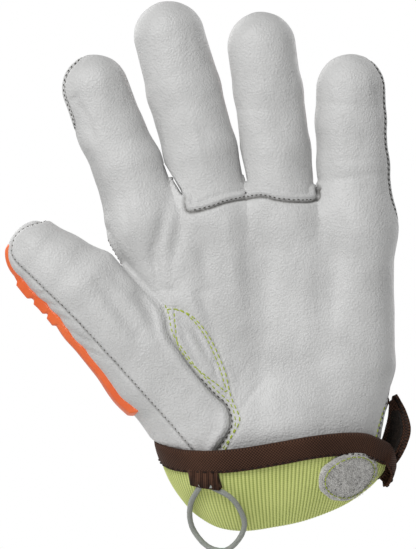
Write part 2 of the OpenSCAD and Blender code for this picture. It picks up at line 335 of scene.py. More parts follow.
def surface_net(value, step):
    """The zero surface of a grid: one point for each crossed cell, one quad for each crossed edge."""
    cells = np.array(value.shape) - 1
    total = np.zeros((cells.prod(), 3))
    hits = np.zeros(cells.prod())
    quads = []
    for axis in range(3):
        low = value[tuple(slice(0, -1) if i == axis else slice(None) for i in range(3))]
        high = value[tuple(slice(1, None) if i == axis else slice(None) for i in range(3))]
        at = np.argwhere((low < 0) != (high < 0))
        other = [i for i in range(3) if i != axis]
        at = at[(at[:, other[0]] > 0) & (at[:, other[1]] > 0)]
        at = at[(at[:, other[0]] < cells[other[0]]) & (at[:, other[1]] < cells[other[1]])]
        before, after = low[tuple(at.T)], high[tuple(at.T)]
        point = at.astype(float)
        point[:, axis] += before / (before - after)
        corners = []
        for da, db in ((1, 1), (0, 1), (0, 0), (1, 0)):
            cell = at.copy()
            cell[:, other[0]] -= da
            cell[:, other[1]] -= db
            index = np.ravel_multi_index(tuple(cell.T), tuple(cells))
            corners.append(index)
            for i in range(3):
                total[:, i] += np.bincount(index, point[:, i], len(total))
            hits += np.bincount(index, minlength=len(hits))
        quad = np.stack(corners, 1)
        flip = (before < 0) == (axis == 1)
        quad[flip] = quad[flip][:, ::-1]
        quads.append(quad)
    used = np.flatnonzero(hits)
    number = np.full(len(hits), -1)
    number[used] = np.arange(len(used))
    points = GRID_LOW + step * total[used] / hits[used, None]
    quads = number[np.vstack(quads)]
    return points, np.vstack([quads[:, (0, 1, 2)], quads[:, (0, 2, 3)]])


def field_slope(field, points):
    """The field's gradient by small differences."""
    reach = 0.05
    return np.stack([(field(points + e) - field(points - e)) / (2 * reach) for e in np.eye(3) * reach], 1)


def settle(field, points, rounds=2):
    """Moves points on to the field's zero surface."""
    for _ in range(rounds):
        slope = field_slope(field, points)
        size = np.maximum((slope**2).sum(1), 0.2)
        step = np.clip(field(points) / size, -1, 1)
        points = points - step[:, None] * slope
    return points


def relax(points, faces, rounds=2):
    """Evens out the triangles by moving each point towards its neighbours' middle."""
    ends = face_edges(faces)
    count = np.bincount(ends[:, 0], minlength=len(points))[:, None]
    for _ in range(rounds):
        near = points[ends[:, 1]]
        total = np.stack([np.bincount(ends[:, 0], near[:, i], len(points)) for i in range(3)], 1)
        points = points + 0.5 * (total / count - points)
    return points


def point_normals(points, faces):
    """Outward normals, weighted by face area."""
    a, b, c = (points[faces[:, i]] for i in range(3))
    face = np.cross(b - a, c - a)
    total = np.stack(
        [sum(np.bincount(faces[:, k], face[:, i], len(points)) for k in range(3)) for i in range(3)], 1
    )
    return total / np.maximum(np.linalg.norm(total, axis=1), 1e-9)[:, None]


class Skin:
    """A triangle mesh whose points carry levels and the names of the lines they lie on.

    A level is a distance from a seam or a border.
    """

    def __init__(self, points, faces, levels):
        self.points, self.faces, self.levels = points, faces, levels
        self.lines = {}

    def cut(self, value, name):
        """Splits every triangle that the zero line of value crosses, and remembers its points by name."""
        value = np.where(np.abs(value) < SNAP, 0, value)
        corner = self.points[self.faces]
        reach = np.linalg.norm(corner - corner[:, (1, 2, 0)], axis=2).max(1)
        spread = value[self.faces].max(1) - value[self.faces].min(1)
        sign = np.sign(value)[self.faces]
        crossed = (sign.min(1) < 0) & (sign.max(1) > 0) & (spread < STEEPEST * reach)
        split, sign = self.faces[crossed], sign[crossed]
        if not len(split):
            self.lines[name] = value == 0
            return
        touches = (sign == 0).any(1)
        lone = np.where(sign.sum(1) > 0, sign.argmin(1), sign.argmax(1))
        lone = np.where(touches, (sign == 0).argmax(1), lone)
        turned = np.take_along_axis(split, (lone[:, None] + np.arange(3)) % 3, 1)
        two, three = turned[touches], turned[~touches]
        pairs = np.sort(np.vstack([two[:, (1, 2)], three[:, (0, 1)], three[:, (0, 2)]]), axis=1)
        edges, number = np.unique(pairs, axis=0, return_inverse=True)
        number = number.reshape(-1) + len(self.points)
        first, second = edges.T
        share = value[first] / (value[first] - value[second])
        self.grow(first, second, share)
        self.lines[name] = np.concatenate([value == 0, np.ones(len(edges), bool)])
        middle, near, far = np.split(number, [len(two), len(two) + len(three)])
        made = [
            self.faces[~crossed],
            np.stack([two[:, 0], two[:, 1], middle], 1),
            np.stack([two[:, 0], middle, two[:, 2]], 1),
            np.stack([three[:, 0], near, far], 1),
            np.stack([near, three[:, 1], three[:, 2]], 1),
            np.stack([near, three[:, 2], far], 1),
        ]
        self.faces = np.vstack(made)

    def grow(self, first, second, share):
        """Adds a point at a share of the way between each pair of points."""

        def between(v):
            return np.concatenate([v, v[first] + share * (v[second] - v[first])])

        self.points = np.stack([between(self.points[:, i]) for i in range(3)], 1)
        self.levels = {key: between(v) for key, v in self.levels.items()}
        self.lines = {key: np.concatenate([v, v[first] & v[second]]) for key, v in self.lines.items()}

    def part(self, keep):
        """The faces marked by keep, as a mesh of their own with every face in four."""
        used, faces = np.unique(self.faces[keep], return_inverse=True)
        made = Skin(self.points[used], faces.reshape(-1, 3), {key: v[used] for key, v in self.levels.items()})
        pairs = np.sort(face_edges(made.faces), axis=1)
        edges, number = np.unique(pairs, axis=0, return_inverse=True)
        count = len(made.points)
        made.grow(edges[:, 0], edges[:, 1], 0.5)
        ab, bc, ca = np.split(number.reshape(-1) + count, 3)
        a, b, c = made.faces.T
        quarters = ((a, ab, ca), (ab, b, bc), (ca, bc, c), (ab, bc, ca))
        made.faces = np.vstack([np.stack(corners, 1) for corners in quarters])
        return made

    def over(self, key):
        """A level's mean over each face."""
        return self.levels[key][self.faces].mean(1)


SNAP = 0.1
STEEPEST = 2.5


# ---------------------------------------------------------------- seams and borders on the skin

# The rolled edge of the thumb's leaf-shaped panel, from the crotch of the thumb down to the cuff.
THUMB_EDGE = smooth_line([
    (-77, 125), (-71.4, 115), (-66.2, 107.1), (-51.8, 91.4), (-48.2, 79.2), (-41, 68.4), (-34.2, 59.4),
    (-28, 52.5), (-22.4, 47.2), (-20.6, 41.5), (-21.6, 36), (-27.5, 26.6), (-34, 12), (-36, -10),
])
THUMB_BACK_EDGE = smooth_line([
    (-77, 125), (-71.4, 115), (-66.2, 107.1), (-52, 86), (-42, 66), (-37, 40), (-34, 12), (-36, -10),
])
# The seam along the thumb's outer side, from over its tip down to the cuff.
THUMB_SEAM = smooth_line([
    (-96, 134), (-105, 130), (-112, 127.6), (-116.6, 123.6), (-118.4, 117.8), (-116.8, 112.4),
    (-107.6, 103.2), (-91.4, 87.3), (-72.5, 67), (-56.7, 49.5), (-37.4, 27), (-30, 16),
])
# The outer stitched edge of the gusset beside the thumb, and the two sides of the lens inside it.
GUSSET_EDGE = smooth_line([
    (-56, 91.5), (-50.4, 91.3), (-43.2, 91.4), (-35.6, 87.3), (-27.9, 77.4), (-22, 63.9), (-19, 52),
    (-15.4, 43.5), (-15.6, 39), (-19.8, 31.1), (-27, 16),
])
LENS_RIGHT = smooth_line([(-45.4, 90.9), (-39, 88), (-31.2, 78.5), (-25.2, 65.3), (-21.4, 52.4)])
LENS_LEFT = smooth_line([
    (-45.4, 90.9), (-44.6, 82.8), (-43, 74.6), (-38.2, 67.6), (-30.6, 60.6), (-25.2, 56.4), (-21.4, 52.4),
])
# The border between the palm and the fingers. In the middle it is the seam that sews on the two fronts.
BASE_SEAM = smooth_line([
    (-105, 117), (-72.4, 130), (-44, 140.5), (-41.2, 138), (-40.2, 135), (-37, 134), (-28.8, 135.9),
    (-20.7, 138.6), (-7.2, 140.9), (1, 139.4), (9, 138.6), (16.2, 138.8), (19.6, 141), (20.2, 144.8),
    (34, 142.5), (52, 142), (72, 142),
])
BACK_BORDER = smooth_line([
    (-105, 117), (-72.4, 130), (-41.4, 141), (-12.6, 145), (18, 145), (52, 142), (72, 142),
])
THUMB_UPPER_SEAM_Y = -19.0


def lean_axis(name):
    """A digit's direction in the frame."""
    lean = math.radians(FRAMES[name][1])
    return np.array((-math.sin(lean), 0, math.cos(lean)))


def height_on(p, name):
    """How far along a digit a point lies above its fork."""
    return (p - np.array(FRAMES[name][0], float)) @ lean_axis(name)


def in_thumb(p):
    """Distance into the thumb's panels, negative on the palm and the back."""
    front = side_of_line(p[:, 0], p[:, 2], THUMB_EDGE)
    back = side_of_line(p[:, 0], p[:, 2], THUMB_BACK_EDGE)
    return np.where(p[:, 1] < HAND_Y, front, back)


def side_seam_y(p):
    """Depth of the seam between the front and the back of the hand and fingers."""
    y = np.full(len(p), HAND_Y + 2.5)
    index_tip = smooth_step(height_on(p, "index"), 34, 44) * smooth_step(-p[:, 0], 82, 90)
    y -= 7.5 * index_tip
    little_side = smooth_step(p[:, 0], 38, 46) * smooth_step(p[:, 2], 120, 140)
    y -= 7.0 * little_side
    heel = smooth_step(-p[:, 2], -70, -30)
    y += heel * (10 - 15 * smooth_step(p[:, 0], 10, 45))
    return y


def front_depth(p):
    """Distance in front of the side seam."""
    return side_seam_y(p) - p[:, 1]


def thumb_front(p):
    """Distance inside the thumb's front panel, negative on its back panel."""
    return np.minimum(-side_of_line(p[:, 0], p[:, 2], THUMB_SEAM), THUMB_UPPER_SEAM_Y - p[:, 1])


def above_border(p):
    """Distance above the border between the palm or back and the fingers."""
    front = -side_of_line(p[:, 0], p[:, 2], BASE_SEAM)
    back = -side_of_line(p[:, 0], p[:, 2], BACK_BORDER)
    return np.where(front_depth(p) > 0, front, back)


def in_gusset(p):
    """Distance inside the gusset's outer edge."""
    return side_of_line(p[:, 0], p[:, 2], GUSSET_EDGE)


def in_lens(p):
    """Distance inside the gusset's lens."""
    right = side_of_line(p[:, 0], p[:, 2], LENS_RIGHT)
    left = side_of_line(p[:, 0], p[:, 2], LENS_LEFT)
    return np.minimum(right, -left)


def split_height(name):
    """Half way between a digit's two hinges."""
    return sum(FRAMES[name][3]) / 2


def skin_levels(p):
    """Every distance that the seams, the borders and the reliefs are worked out from."""
    levels = {
        "zone": in_thumb(p),
        "side": front_depth(p),
        "border": above_border(p),
        "thumb_seam": thumb_front(p),
        "gusset": in_gusset(p),
        "lens": in_lens(p),
        "x": p[:, 0].copy(),
        "y": p[:, 1].copy(),
        "z": p[:, 2].copy(),
    }
    for name in DIGITS:
        levels[name] = height_on(p, name)
    for name in FINGERS:
        levels["near_" + name] = digit_distance(p, name)
    return levels


NO_CUT = 99.0


def cut_skin(skin):
    """Gives the skin edges along its seams, the folds beside them and the borders between its pieces."""

    def level(key):
        return skin.levels[key]

    def cut_along(name, value, inside, shifts=(0,)):
        """Cuts at each shift of value. Both are worked out afresh, because every cut adds points."""
        for by in shifts:
            skin.cut(np.where(inside(), value(), NO_CUT) - by, f"{name}_{by:g}")

    def everywhere():
        return True

    def hand():
        return level("zone") < 0.5

    def thumb():
        return level("zone") > -0.5

    def palm_side():
        return (level("zone") < 3) & (level("side") > 0)

    cut_along("rim", lambda: above_rim(level), everywhere)
    cut_along("zone", lambda: level("zone"), everywhere, (0, -1, -2.6, 1, 2.6, 5))
    cut_along("side", lambda: level("side"), hand, (0, -1, 1, 2.2, -2.2))
    cut_along("border", lambda: level("border"), hand, (0, -0.9, 0.9, 2.2, 3.6))
    cut_along("thumb_seam", lambda: level("thumb_seam"), thumb, (0, -0.9, 0.9, 2.0))
    cut_along("gusset", lambda: level("gusset"), palm_side, (0, -1, 1))
    cut_along("lens", lambda: level("lens"), palm_side, (0, -0.9, 0.9, 2.0))
    cut_along("thumb_border", lambda: level("thumb") - THUMB_BORDER, thumb)
    for name in DIGITS:
        cut_along(name + "_split", lambda: level(name) - split_height(name), lambda: own(level, name))
    for name, other in zip(FINGERS, FINGERS[1:]):
        cut_along(
            other + "_web",
            lambda: level("near_" + other) - level("near_" + name),
            lambda: np.abs(level("z") - WEB_Z) < WEB_REACH,
        )


def above_rim(level):
    """Distance above the leather's lower edge, which lies a little above the fold of the cuff."""
    return level("z") - RIM_Z - RIM_SLOPE[0] * level("x") - RIM_SLOPE[1] * level("y")


def own(level, name):
    """Marks what belongs to a digit, from the levels of points or faces."""
    if name == "thumb":
        return level("zone") > 0
    nearest = np.minimum.reduce([level("near_" + other) for other in FINGERS])
    return (level("zone") < 0) & (level("z") > 100) & (level("near_" + name) <= nearest)


RIM_Z = 8.0
RIM_SLOPE = (0.147, 0.4)
WEB_Z = 143.0
WEB_REACH = 12.0
THUMB_BORDER = -2.0


# ---------------------------------------------------------------- relief of the leather

# Soft folds of the palm side: ends (x, z), half width and depth, raised where the depth is negative.
CREASES = [
    ((-48, 138), (-55, 112), 3.2, 0.9), ((-42, 134), (-46, 108), 2.6, 0.7),
    ((-55, 118), (-52, 99), 2.2, 1.0), ((-50, 100), (-44, 98), 1.8, 0.9),
    ((-40, 101), (-34, 88), 2.4, -0.7), ((-33, 97), (-24, 70), 3.0, 0.7),
    ((-20, 128), (-16, 84), 5.0, -0.7), ((-33, 124), (-30, 100), 4.0, 0.7),
    ((-3, 130), (-4, 80), 5.5, 0.5), ((16, 132), (14, 76), 6.0, -0.5), ((28, 128), (26, 88), 4.5, 0.45),
    ((-8, 74), (-6, 44), 5.0, 0.4), ((-89, 184), (-82, 173), 1.6, 0.8),
    ((-86, 176), (-79, 163), 1.8, 0.7), ((-93.5, 182), (-88, 187), 1.4, 1.2),
    ((-84, 160), (-76, 134), 2.2, 0.8), ((-72, 168), (-64, 165), 1.4, 0.4),
    ((-70, 150), (-66, 128), 3.0, 0.5), ((-38, 176), (-31, 150), 2.4, -0.35),
    ((20, 183), (46, 181), 1.3, 0.35), ((24, 157), (49, 158), 1.6, 0.4), ((22, 148), (48, 151), 1.8, 0.5),
    ((44, 192), (47, 184), 1.6, 0.6), ((-16, 180), (10, 179), 1.4, 0.25),
    ((-100, 112), (-90, 103), 2.4, 0.4), ((-78, 102), (-62, 80), 3.6, 0.8),
    ((-66, 96), (-54, 76), 3.0, -0.6), ((-62, 70), (-40, 52), 5.0, 0.5),
]
FOLD_GAIN = 0.52
HIGHEST_GAIN = 2.6
# Puckers that run in from the seams: the thumb's outer seam and the gusset.
PUCKERS = [
    ((-108, 98), (-101, 97), 0.9, 0.5), ((-104, 93.5), (-95, 91), 0.9, 0.6),
    ((-99, 88), (-88, 83.5), 0.9, 0.6), ((-93, 81), (-80, 74), 1.0, 0.6),
    ((-87, 73.5), (-71, 66), 1.1, 0.6), ((-36, 82), (-30, 70), 1.2, 0.6),
    ((-40, 78), (-33, 64), 1.3, 0.6), ((-28, 69), (-25, 58), 0.9, 0.5), ((-12, 52), (-3, 62), 1.4, 0.4),
    ((-15, 46), (-8, 56), 1.2, 0.4), ((-18, 58), (-10, 68), 1.4, 0.35),
]


def fold_depth(p, folds):
    """Depth of a set of soft folds on the palm side."""
    total = np.zeros(len(p))
    for (ax, az), (bx, bz), width, depth in folds:
        run = np.array((bx - ax, bz - az), float)
        away = p[:, (0, 2)] - (ax, az)
        share = np.clip(away @ run / (run @ run), 0, 1)
        distance = np.linalg.norm(away - share[:, None] * run, axis=1)
        gain = min(FOLD_GAIN * width, HIGHEST_GAIN) if width > 1.3 else 1
        total += gain * depth * bell(distance, width) * np.sin(math.pi * np.clip(share, 0.08, 0.92)) ** 0.5
    return total


def grain_waves(p):
    """Slow unevenness of stretched leather, about -1 to 1."""
    places = [Vector(v) for v in p * (0.07, 0.07, 0.045)]
    return np.array([noise.noise(v) + 0.5 * noise.noise(v * 2.3) for v in places])


def relief(skin):
    """Height of the leather above its smooth form, and how much painted shade each point gets: most deep in a
    seam and along the thumb panel's overlapping edge.
    """
    keys = ("zone", "side", "border", "thumb_seam", "gusset", "lens", "x", "z")
    zone, side, border, seam, gusset, lens, x, z = (skin.levels[key] for key in keys)
    hand = smooth_step(-zone, 0, 2)
    thumb = smooth_step(zone, 0, 1)
    front = smooth_step(side, 0, 4)
    palm = front * hand
    base = smooth_step(x, -43, -40) * smooth_step(-x, -21.5, -19) * front * hand
    roll = 1.1 * bell(zone - 2.2, 2.2) - 0.9 * bell(zone, 0.8)
    folded = fold_depth(skin.points, CREASES) + fold_depth(skin.points, PUCKERS)
    height = (
        hand * (-0.95 * bell(side, 0.85) + 0.3 * bell(np.abs(side) - 2.3, 1.0))
        + base * (-1.2 * bell(border, 0.85) + 0.75 * bell(border - 2.1, 1.1) - 0.35 * bell(border - 4.0, 0.8))
        + thumb * (-0.8 * bell(seam, 0.8) + 0.35 * bell(seam - 2.0, 1.0))
        + palm * -0.35 * bell(gusset, 0.7)
        + palm * (-0.5 * bell(lens, 0.8) - 0.5 * smooth_step(lens, 0, 2.5) + 0.7 * smooth_step(lens, 3, 7))
        + palm * -1.3 * bell(zone + 0.5, 2.4)
        + thumb * smooth_step(side, -3, 3) * roll
        - smooth_step(side, 0, 6) * folded
        + 0.32 * grain_waves(skin.points)
    )
    # Painted shade: darker in the seam grooves, along the gusset and lens stitching, and under the thumb
    # panel's overlapping edge, fading out up the thumb.
    seam_shade = np.maximum.reduce([
        hand * bell(side, 0.7),
        base * bell(border, 0.8),
        0.6 * thumb * bell(seam, 0.5),
        (0.9 - 0.65 * smooth_step(z, 62, 84)) * front * bell(zone + 0.4, 0.8),
        0.4 * palm * bell(lens, 0.6),
        0.3 * palm * bell(gusset, 0.5),
    ])
    return height, seam_shade


# ---------------------------------------------------------------- pieces of the skin


def make_object(name, points, faces, loop_normals=None, attributes=None):
    """A mesh object, from points in millimetres."""
    mesh = bpy.data.meshes.new(name)
    mesh.from_pydata((points * MM).tolist(), [], faces if isinstance(faces, list) else faces.tolist())
    mesh.update()
    mesh.polygons.foreach_set("use_smooth", [True] * len(mesh.polygons))
    for key, values in (attributes or {}).items():
        kind = "FLOAT" if values.ndim == 1 else "FLOAT_VECTOR"
        made = mesh.attributes.new(key, kind, "POINT")
        made.data.foreach_set("value" if values.ndim == 1 else "vector", values.astype(np.float32).ravel())
    if loop_normals is not None:
        mesh.normals_split_custom_set(loop_normals)
    made = bpy.data.objects.new(name, mesh)
    bpy.context.scene.collection.objects.link(made)
    return made


def shell(name, points, faces, normals, thickness, attributes=None, ways=None):
    """A closed sheet: the outer faces, the same faces further in, and a wall round every open edge."""
    count = len(points)
    pairs = face_edges(faces)
    key = pairs[:, 0].astype(np.int64) * count + pairs[:, 1]
    back = pairs[:, 1].astype(np.int64) * count + pairs[:, 0]
    open_edges = pairs[~np.isin(key, back)]
    a, b = open_edges.T
    walls = np.stack([b, a, a + count, b + count], 1)
    inner = points - (normals if ways is None else ways) * thickness
    across = np.cross(inner[a] - points[a], points[b] - points[a])
    across /= np.maximum(np.linalg.norm(across, axis=1), 1e-9)[:, None]
    loops = [normals[faces].reshape(-1, 3), -normals[faces[:, ::-1]].reshape(-1, 3), across.repeat(4, 0)]
    every = faces.tolist() + (faces[:, ::-1] + count).tolist() + walls.tolist()
    both = {k: np.concatenate([v, v]) for k, v in (attributes or {}).items()}
    return make_object(name, np.vstack([points, inner]), every, np.vstack(loops).tolist(), both)


def attach(piece, name, part):
    """Bakes a piece of a digit into place; it does not bend round its hinge, and its part is not used."""
    fork, axis = np.array(FRAMES[name][0], float), lean_axis(name)
    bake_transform(piece)


def finish_piece(piece, nodes, body, material, slot):
    """Gives a piece its finish, hides its CAD nodes, and hangs it on its body if that is a body's name; a
    digit and its part only bake it in place.
    """
    piece.data.materials.append(material)
    if isinstance(body, str):
        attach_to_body(piece, body)
    else:
        attach(piece, *body)
    if nodes:
        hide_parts(*nodes)


def skin_parts(skin):
    """The leather pieces: name, the faces that belong to it and its body."""
    level = skin.over
    zone, front = level("zone") > 0, level("side") > 0
    inside = above_rim(level) > 0
    above = (level("border") > 0) & ~zone
    thumb_face = level("thumb_seam") > 0
    gusset = ~zone & ~above & front & (level("gusset") > 0)
    under_roll = zone & thumb_face & front & (level("zone") < 2.6) & (level("z") < 88)
    parts = [
        ("palm_panel", ~zone & ~above & front & ~gusset, "hand"),
        ("back_panel", ~zone & ~above & ~front, "hand"),
        ("thumb_gusset", gusset | under_roll, "hand"),
        ("thumb_panel", zone & thumb_face & (level("thumb") < THUMB_BORDER), "hand"),
        ("thumb_back_panel", zone & ~thumb_face & (level("thumb") < THUMB_BORDER), "hand"),
    ]
    for name in DIGITS:
        mine = zone & (level("thumb") > THUMB_BORDER) if name == "thumb" else above & own(level, name)
        face = thumb_face if name == "thumb" else front
        split = split_height(name)
        for part, stretch in (("lower", level(name) < split), ("upper", level(name) > split)):
            parts.append((f"{name}_front_{part}", mine & face & stretch, (name, part)))
            parts.append((f"{name}_back_{part}", mine & ~face & stretch, (name, part)))
    return [(name, keep & inside, body) for name, keep, body in parts]


LEATHER = 1.0
TUCK = 1.5


def make_leather(skin, normals, seam_shade, material):
    """Every leather piece of the skin. The gusset's edge tucks in under the thumb's panel."""
    for name, keep, body in skin_parts(skin):
        used, faces = np.unique(skin.faces[keep], return_inverse=True)
        points, turned = skin.points[used], normals[used]
        if name == "thumb_gusset":
            points = points - turned * (TUCK * smooth_step(skin.levels["zone"][used], -0.6, 0.6))[:, None]
        # Each piece carries the painted seam shade as a point attribute.
        piece = shell(name, points, faces.reshape(-1, 3), turned, LEATHER, {"seam_shade": seam_shade[used]})
        finish_piece(piece, [name], body, material, "goat_leather")


# ---------------------------------------------------------------- materials


class Nodes:
    """A material whose shader nodes are added and joined one at a time."""

    def __init__(self, name, **shader):
        self.material = bpy.data.materials.new(name)
        self.material.use_nodes = True
        self.tree = self.material.node_tree
        self.shader = self.tree.nodes["Principled BSDF"]
        for key, value in shader.items():
            self.shader.inputs[key.replace("_", " ").title().replace("Ior", "IOR")].default_value = value
        self.place = self.add("TexCoord").outputs["Object"]

    def add(self, kind, settings=None, **inputs):
        """Adds a node, with its settings and its inputs, which are values or other nodes' outputs."""
        made = self.tree.nodes.new("ShaderNode" + kind)
        for key, value in (settings or {}).items():
            setattr(made, key, value)
        for key, value in inputs.items():
            self.join(made.inputs[int(key[1:]) if key[1:].isdigit() else key.replace("_", " ")], value)
        return made

    def join(self, socket, value):
        """Sets a socket to a value, or links it to an output."""
        if isinstance(value, bpy.types.NodeSocket):
            self.tree.links.new(value, socket)
        else:
            socket.default_value = value

    def set(self, name, value):
        """Sets one of the shader's inputs, or links it."""
        self.join(self.shader.inputs[name], value)

    def noise(self, scale, detail=3.0):
        """Noise at a scale in cells per metre."""
        return self.add("TexNoise", Vector=self.place, Scale=scale, Detail=detail).outputs["Fac"]

    def ramp(self, value, low, high, to_low=0.0, to_high=1.0):
        """A value moved from one range to another and kept inside it."""
        inputs = {"i0": value, "i1": low, "i2": high, "i3": to_low, "i4": to_high}
        return self.add("MapRange", **inputs).outputs[0]

    def mix(self, share, first, second):
        """A colour between two."""
        made = self.add("Mix", {"data_type": "RGBA"})
        for socket, value in ((0, share), (6, first), (7, second)):
            self.join(made.inputs[socket], value)
        return made.outputs[2]

    def math(self, kind, first, second=0.0):
        """One sum of two values."""
        return self.add("Math", {"operation": kind}, i0=first, i1=second).outputs[0]

    def attribute(self, name, output="Fac"):
        """A value that the mesh carries at its points."""
        return self.add("Attribute", {"attribute_name": name}).outputs[output]

    def bump(self, *layers):
        """Fine relief: layers of a height, its depth in millimetres and its strength."""
        last = None
        for height, depth, strength in layers:
            inputs = {"Height": height, "Strength": strength, "Distance": depth * MM}
            if last is not None:
                inputs["Normal"] = last
            last = self.add("Bump", **inputs).outputs[0]
        self.set("Normal", last)


def leather_material():
    """White goatskin: a fine pebbled grain, a soft sheen and painted shade in the seams."""
    m = Nodes("goat_leather", sheen_weight=0.12, sheen_roughness=0.4)
    cells = {"feature": "SMOOTH_F1"}
    pebble = m.add("TexVoronoi", cells, Vector=m.place, Scale=1150.0, Smoothness=0.6).outputs[0]
    pores = m.noise(2600.0, 2.0)
    cloud = m.noise(38.0, 4.0)
    creased = m.noise(260.0, 5.0)
    fold_way = m.add("Mapping", Vector=m.place, Scale=(1.0, 1.0, 0.35), Rotation=(0, 0.25, 0)).outputs[0]
    ridged = {"noise_type": "RIDGED_MULTIFRACTAL"}
    wrinkle = m.add("TexNoise", ridged, Vector=fold_way, Scale=150.0, Detail=4.0).outputs[0]
    tone = m.mix(m.ramp(cloud, 0.35, 0.68), (0.545, 0.545, 0.54, 1), (0.655, 0.655, 0.65, 1))
    tone = m.mix(m.ramp(pebble, 0.15, 0.75, 0.0, 0.16), tone, (0.42, 0.42, 0.415, 1))
    # Painted shade: the seam attribute darkens the leather towards a near-black brown in its seams and under
    # the thumb's edge.
    shaded_tone = m.mix(m.ramp(m.attribute("seam_shade"), 0.25, 1.0, 0.0, 0.82), tone, (0.085, 0.08, 0.07, 1))
    m.set("Base Color", shaded_tone)
    uneven = m.math("ADD", cloud, m.math("MULTIPLY", pores, 0.4))
    m.set("Roughness", m.ramp(uneven, 0.4, 1.0, 0.40, 0.60))
    m.bump((wrinkle, 0.45, 0.45), (creased, 0.5, 0.45), (pebble, 0.3, 0.9), (pores, 0.08, 0.6))
    return m.material


def rubber_material():
    """Orange moulded rubber with a satin skin."""
    m = Nodes("guard_rubber", roughness=0.42, specular_ior_level=0.45)
    cloud = m.noise(70.0, 3.0)
    grain = m.noise(1700.0, 3.0)
    tone = m.mix(m.ramp(cloud, 0.35, 0.65), (0.80, 0.125, 0.025, 1), (0.88, 0.165, 0.038, 1))
    m.set("Base Color", tone)
    m.set("Roughness", m.ramp(grain, 0.3, 0.7, 0.34, 0.52))
    m.bump((cloud, 0.3, 0.2), (grain, 0.05, 0.5))
    return m.material


def thread_material(name, colour):
    """Twisted sewing thread."""
    m = Nodes(name, roughness=0.7, specular_ior_level=0.2)
    slanted = {"bands_direction": "DIAGONAL"}
    twist = m.add("TexWave", slanted, Vector=m.place, Scale=1300.0, Distortion=1.0).outputs["Fac"]
    dark = tuple(c * 0.55 for c in colour[:3]) + (1,)
    m.set("Base Color", m.mix(m.ramp(twist, 0.1, 0.9, 0.0, 0.5), colour, dark))
    m.bump((twist, 0.08, 0.6))
    return m.material


def woven_material(name, light, dark, pitch, knit, sheen=0.2):
    """Cloth whose threads follow its own weave coordinates, in metres: a rib knit or a diagonal twill."""
    m = Nodes(name, roughness=0.85, sheen_weight=sheen, sheen_roughness=0.5, specular_ior_level=0.12)
    split = m.add("SeparateXYZ", Vector=m.attribute("weave", "Vector"))
    across = m.math("MULTIPLY", split.outputs[0], 2 * math.pi / pitch)
    along = m.math("MULTIPLY", split.outputs[1], 2 * math.pi / (pitch * 0.62 if knit else pitch))
    wander = m.math("MULTIPLY", m.noise(900.0, 2.0), 1.6)
    if knit:
        vee = m.math("MULTIPLY", m.math("ABSOLUTE", m.math("SINE", m.math("MULTIPLY", across, 0.5))), 2.4)
        thread = m.math("SINE", m.math("ADD", m.math("ADD", along, vee), wander))
        rib = m.math("ABSOLUTE", m.math("SINE", m.math("MULTIPLY", across, 0.5)))
    else:
        thread = m.math("SINE", m.math("ADD", m.math("ADD", across, along), wander))
        rib = m.math("SINE", m.math("SUBTRACT", across, along))
    rib_share = 0.75 if knit else 0.5
    stitches = m.math("MULTIPLY", m.ramp(thread, -1.0, 1.0), 1 - rib_share)
    level = m.math("ADD", stitches, m.math("MULTIPLY", m.ramp(rib, 0.0, 1.0), rib_share))
    fuzz = m.noise(2400.0, 3.0)
    patchy = m.ramp(m.noise(45.0, 3.0), 0.3, 0.7, -0.14, 0.14)
    # Painted shade: the colour goes dark in the weave's hollows and light on its raised threads, following
    # the same level as the bump; the patchy noise is a random tone.
    share = m.math("ADD", m.ramp(level, 0.15, 0.85), patchy)
    m.set("Base Color", m.mix(share, dark, light))
    m.set("Roughness", m.ramp(fuzz, 0.3, 0.7, 0.74, 0.92))
    m.bump((level, 0.22, 0.7), (fuzz, 0.08, 0.5))
    return m.material


def fuzz_material(name, light, dark, scale, sheen):
    """Napped or looped pile."""
    m = Nodes(name, roughness=0.9, sheen_weight=sheen, sheen_roughness=0.6, specular_ior_level=0.1)
    tuft = m.add("TexVoronoi", Vector=m.place, Scale=scale).outputs[0]
    haze = m.noise(scale * 0.35, 5.0)
    share = m.math("ADD", m.ramp(tuft, 0.0, 0.6, 0.9, 0.0), m.ramp(haze, 0.35, 0.65, -0.3, 0.3))
    m.set("Base Color", m.mix(share, dark, light))
    m.bump((tuft, 0.25, 0.8), (haze, 0.3, 0.5))
    return m.material


# ---------------------------------------------------------------- rubber guards

# A guard's depth in the skin, the rise of its edge, and how far its ways lean to their mean.
GUARD_SINK, GUARD_LIFT, GUARD_LEAN = 0.5, 0.2, 1.5


def rounded_box(u, v, half_u, half_v, corner):
    """Distance inside a rectangle with round corners."""
    du, dv = np.abs(u) - half_u + corner, np.abs(v) - half_v + corner
    return corner - np.hypot(np.maximum(du, 0), np.maximum(dv, 0)) - np.minimum(np.maximum(du, dv), 0)


def bars(position, pitch):
    """Rounded cross bars at a pitch, from 0 to 1."""
    return smooth_step(np.cos(2 * math.pi * position / pitch), -0.35, 0.55)


def lateral(p, name):
    """How far across a digit a point lies, towards the little finger."""
    lean = math.radians(FRAMES[name][1])
    return (p - np.array(FRAMES[name][0], float)) @ np.array((math.cos(lean), 0, math.sin(lean)))


def on_back(p, outline):
    """An outline kept to the back of the hand."""
    return np.minimum(outline, p[:, 1] - HAND_Y - 2)


GUARD_FOOT = 3.0
# The number of ribs of each finger's guard, and how far above the fork it reaches.
FINGER_GUARDS = {"index": (6, 57), "middle": (8, 79), "ring": (7, 72), "little": (5, 52)}
# Each rib of the thumb's guard: its height and half width.
THUMB_RIBS = ((33, 5.2), (22.5, 4.4), (14.6, 3.4))
KNUCKLE_PADS_X = (-57, -29, 0, 29)
HAND_RIBS_X = (-22, -4.5, 13, 30.5)


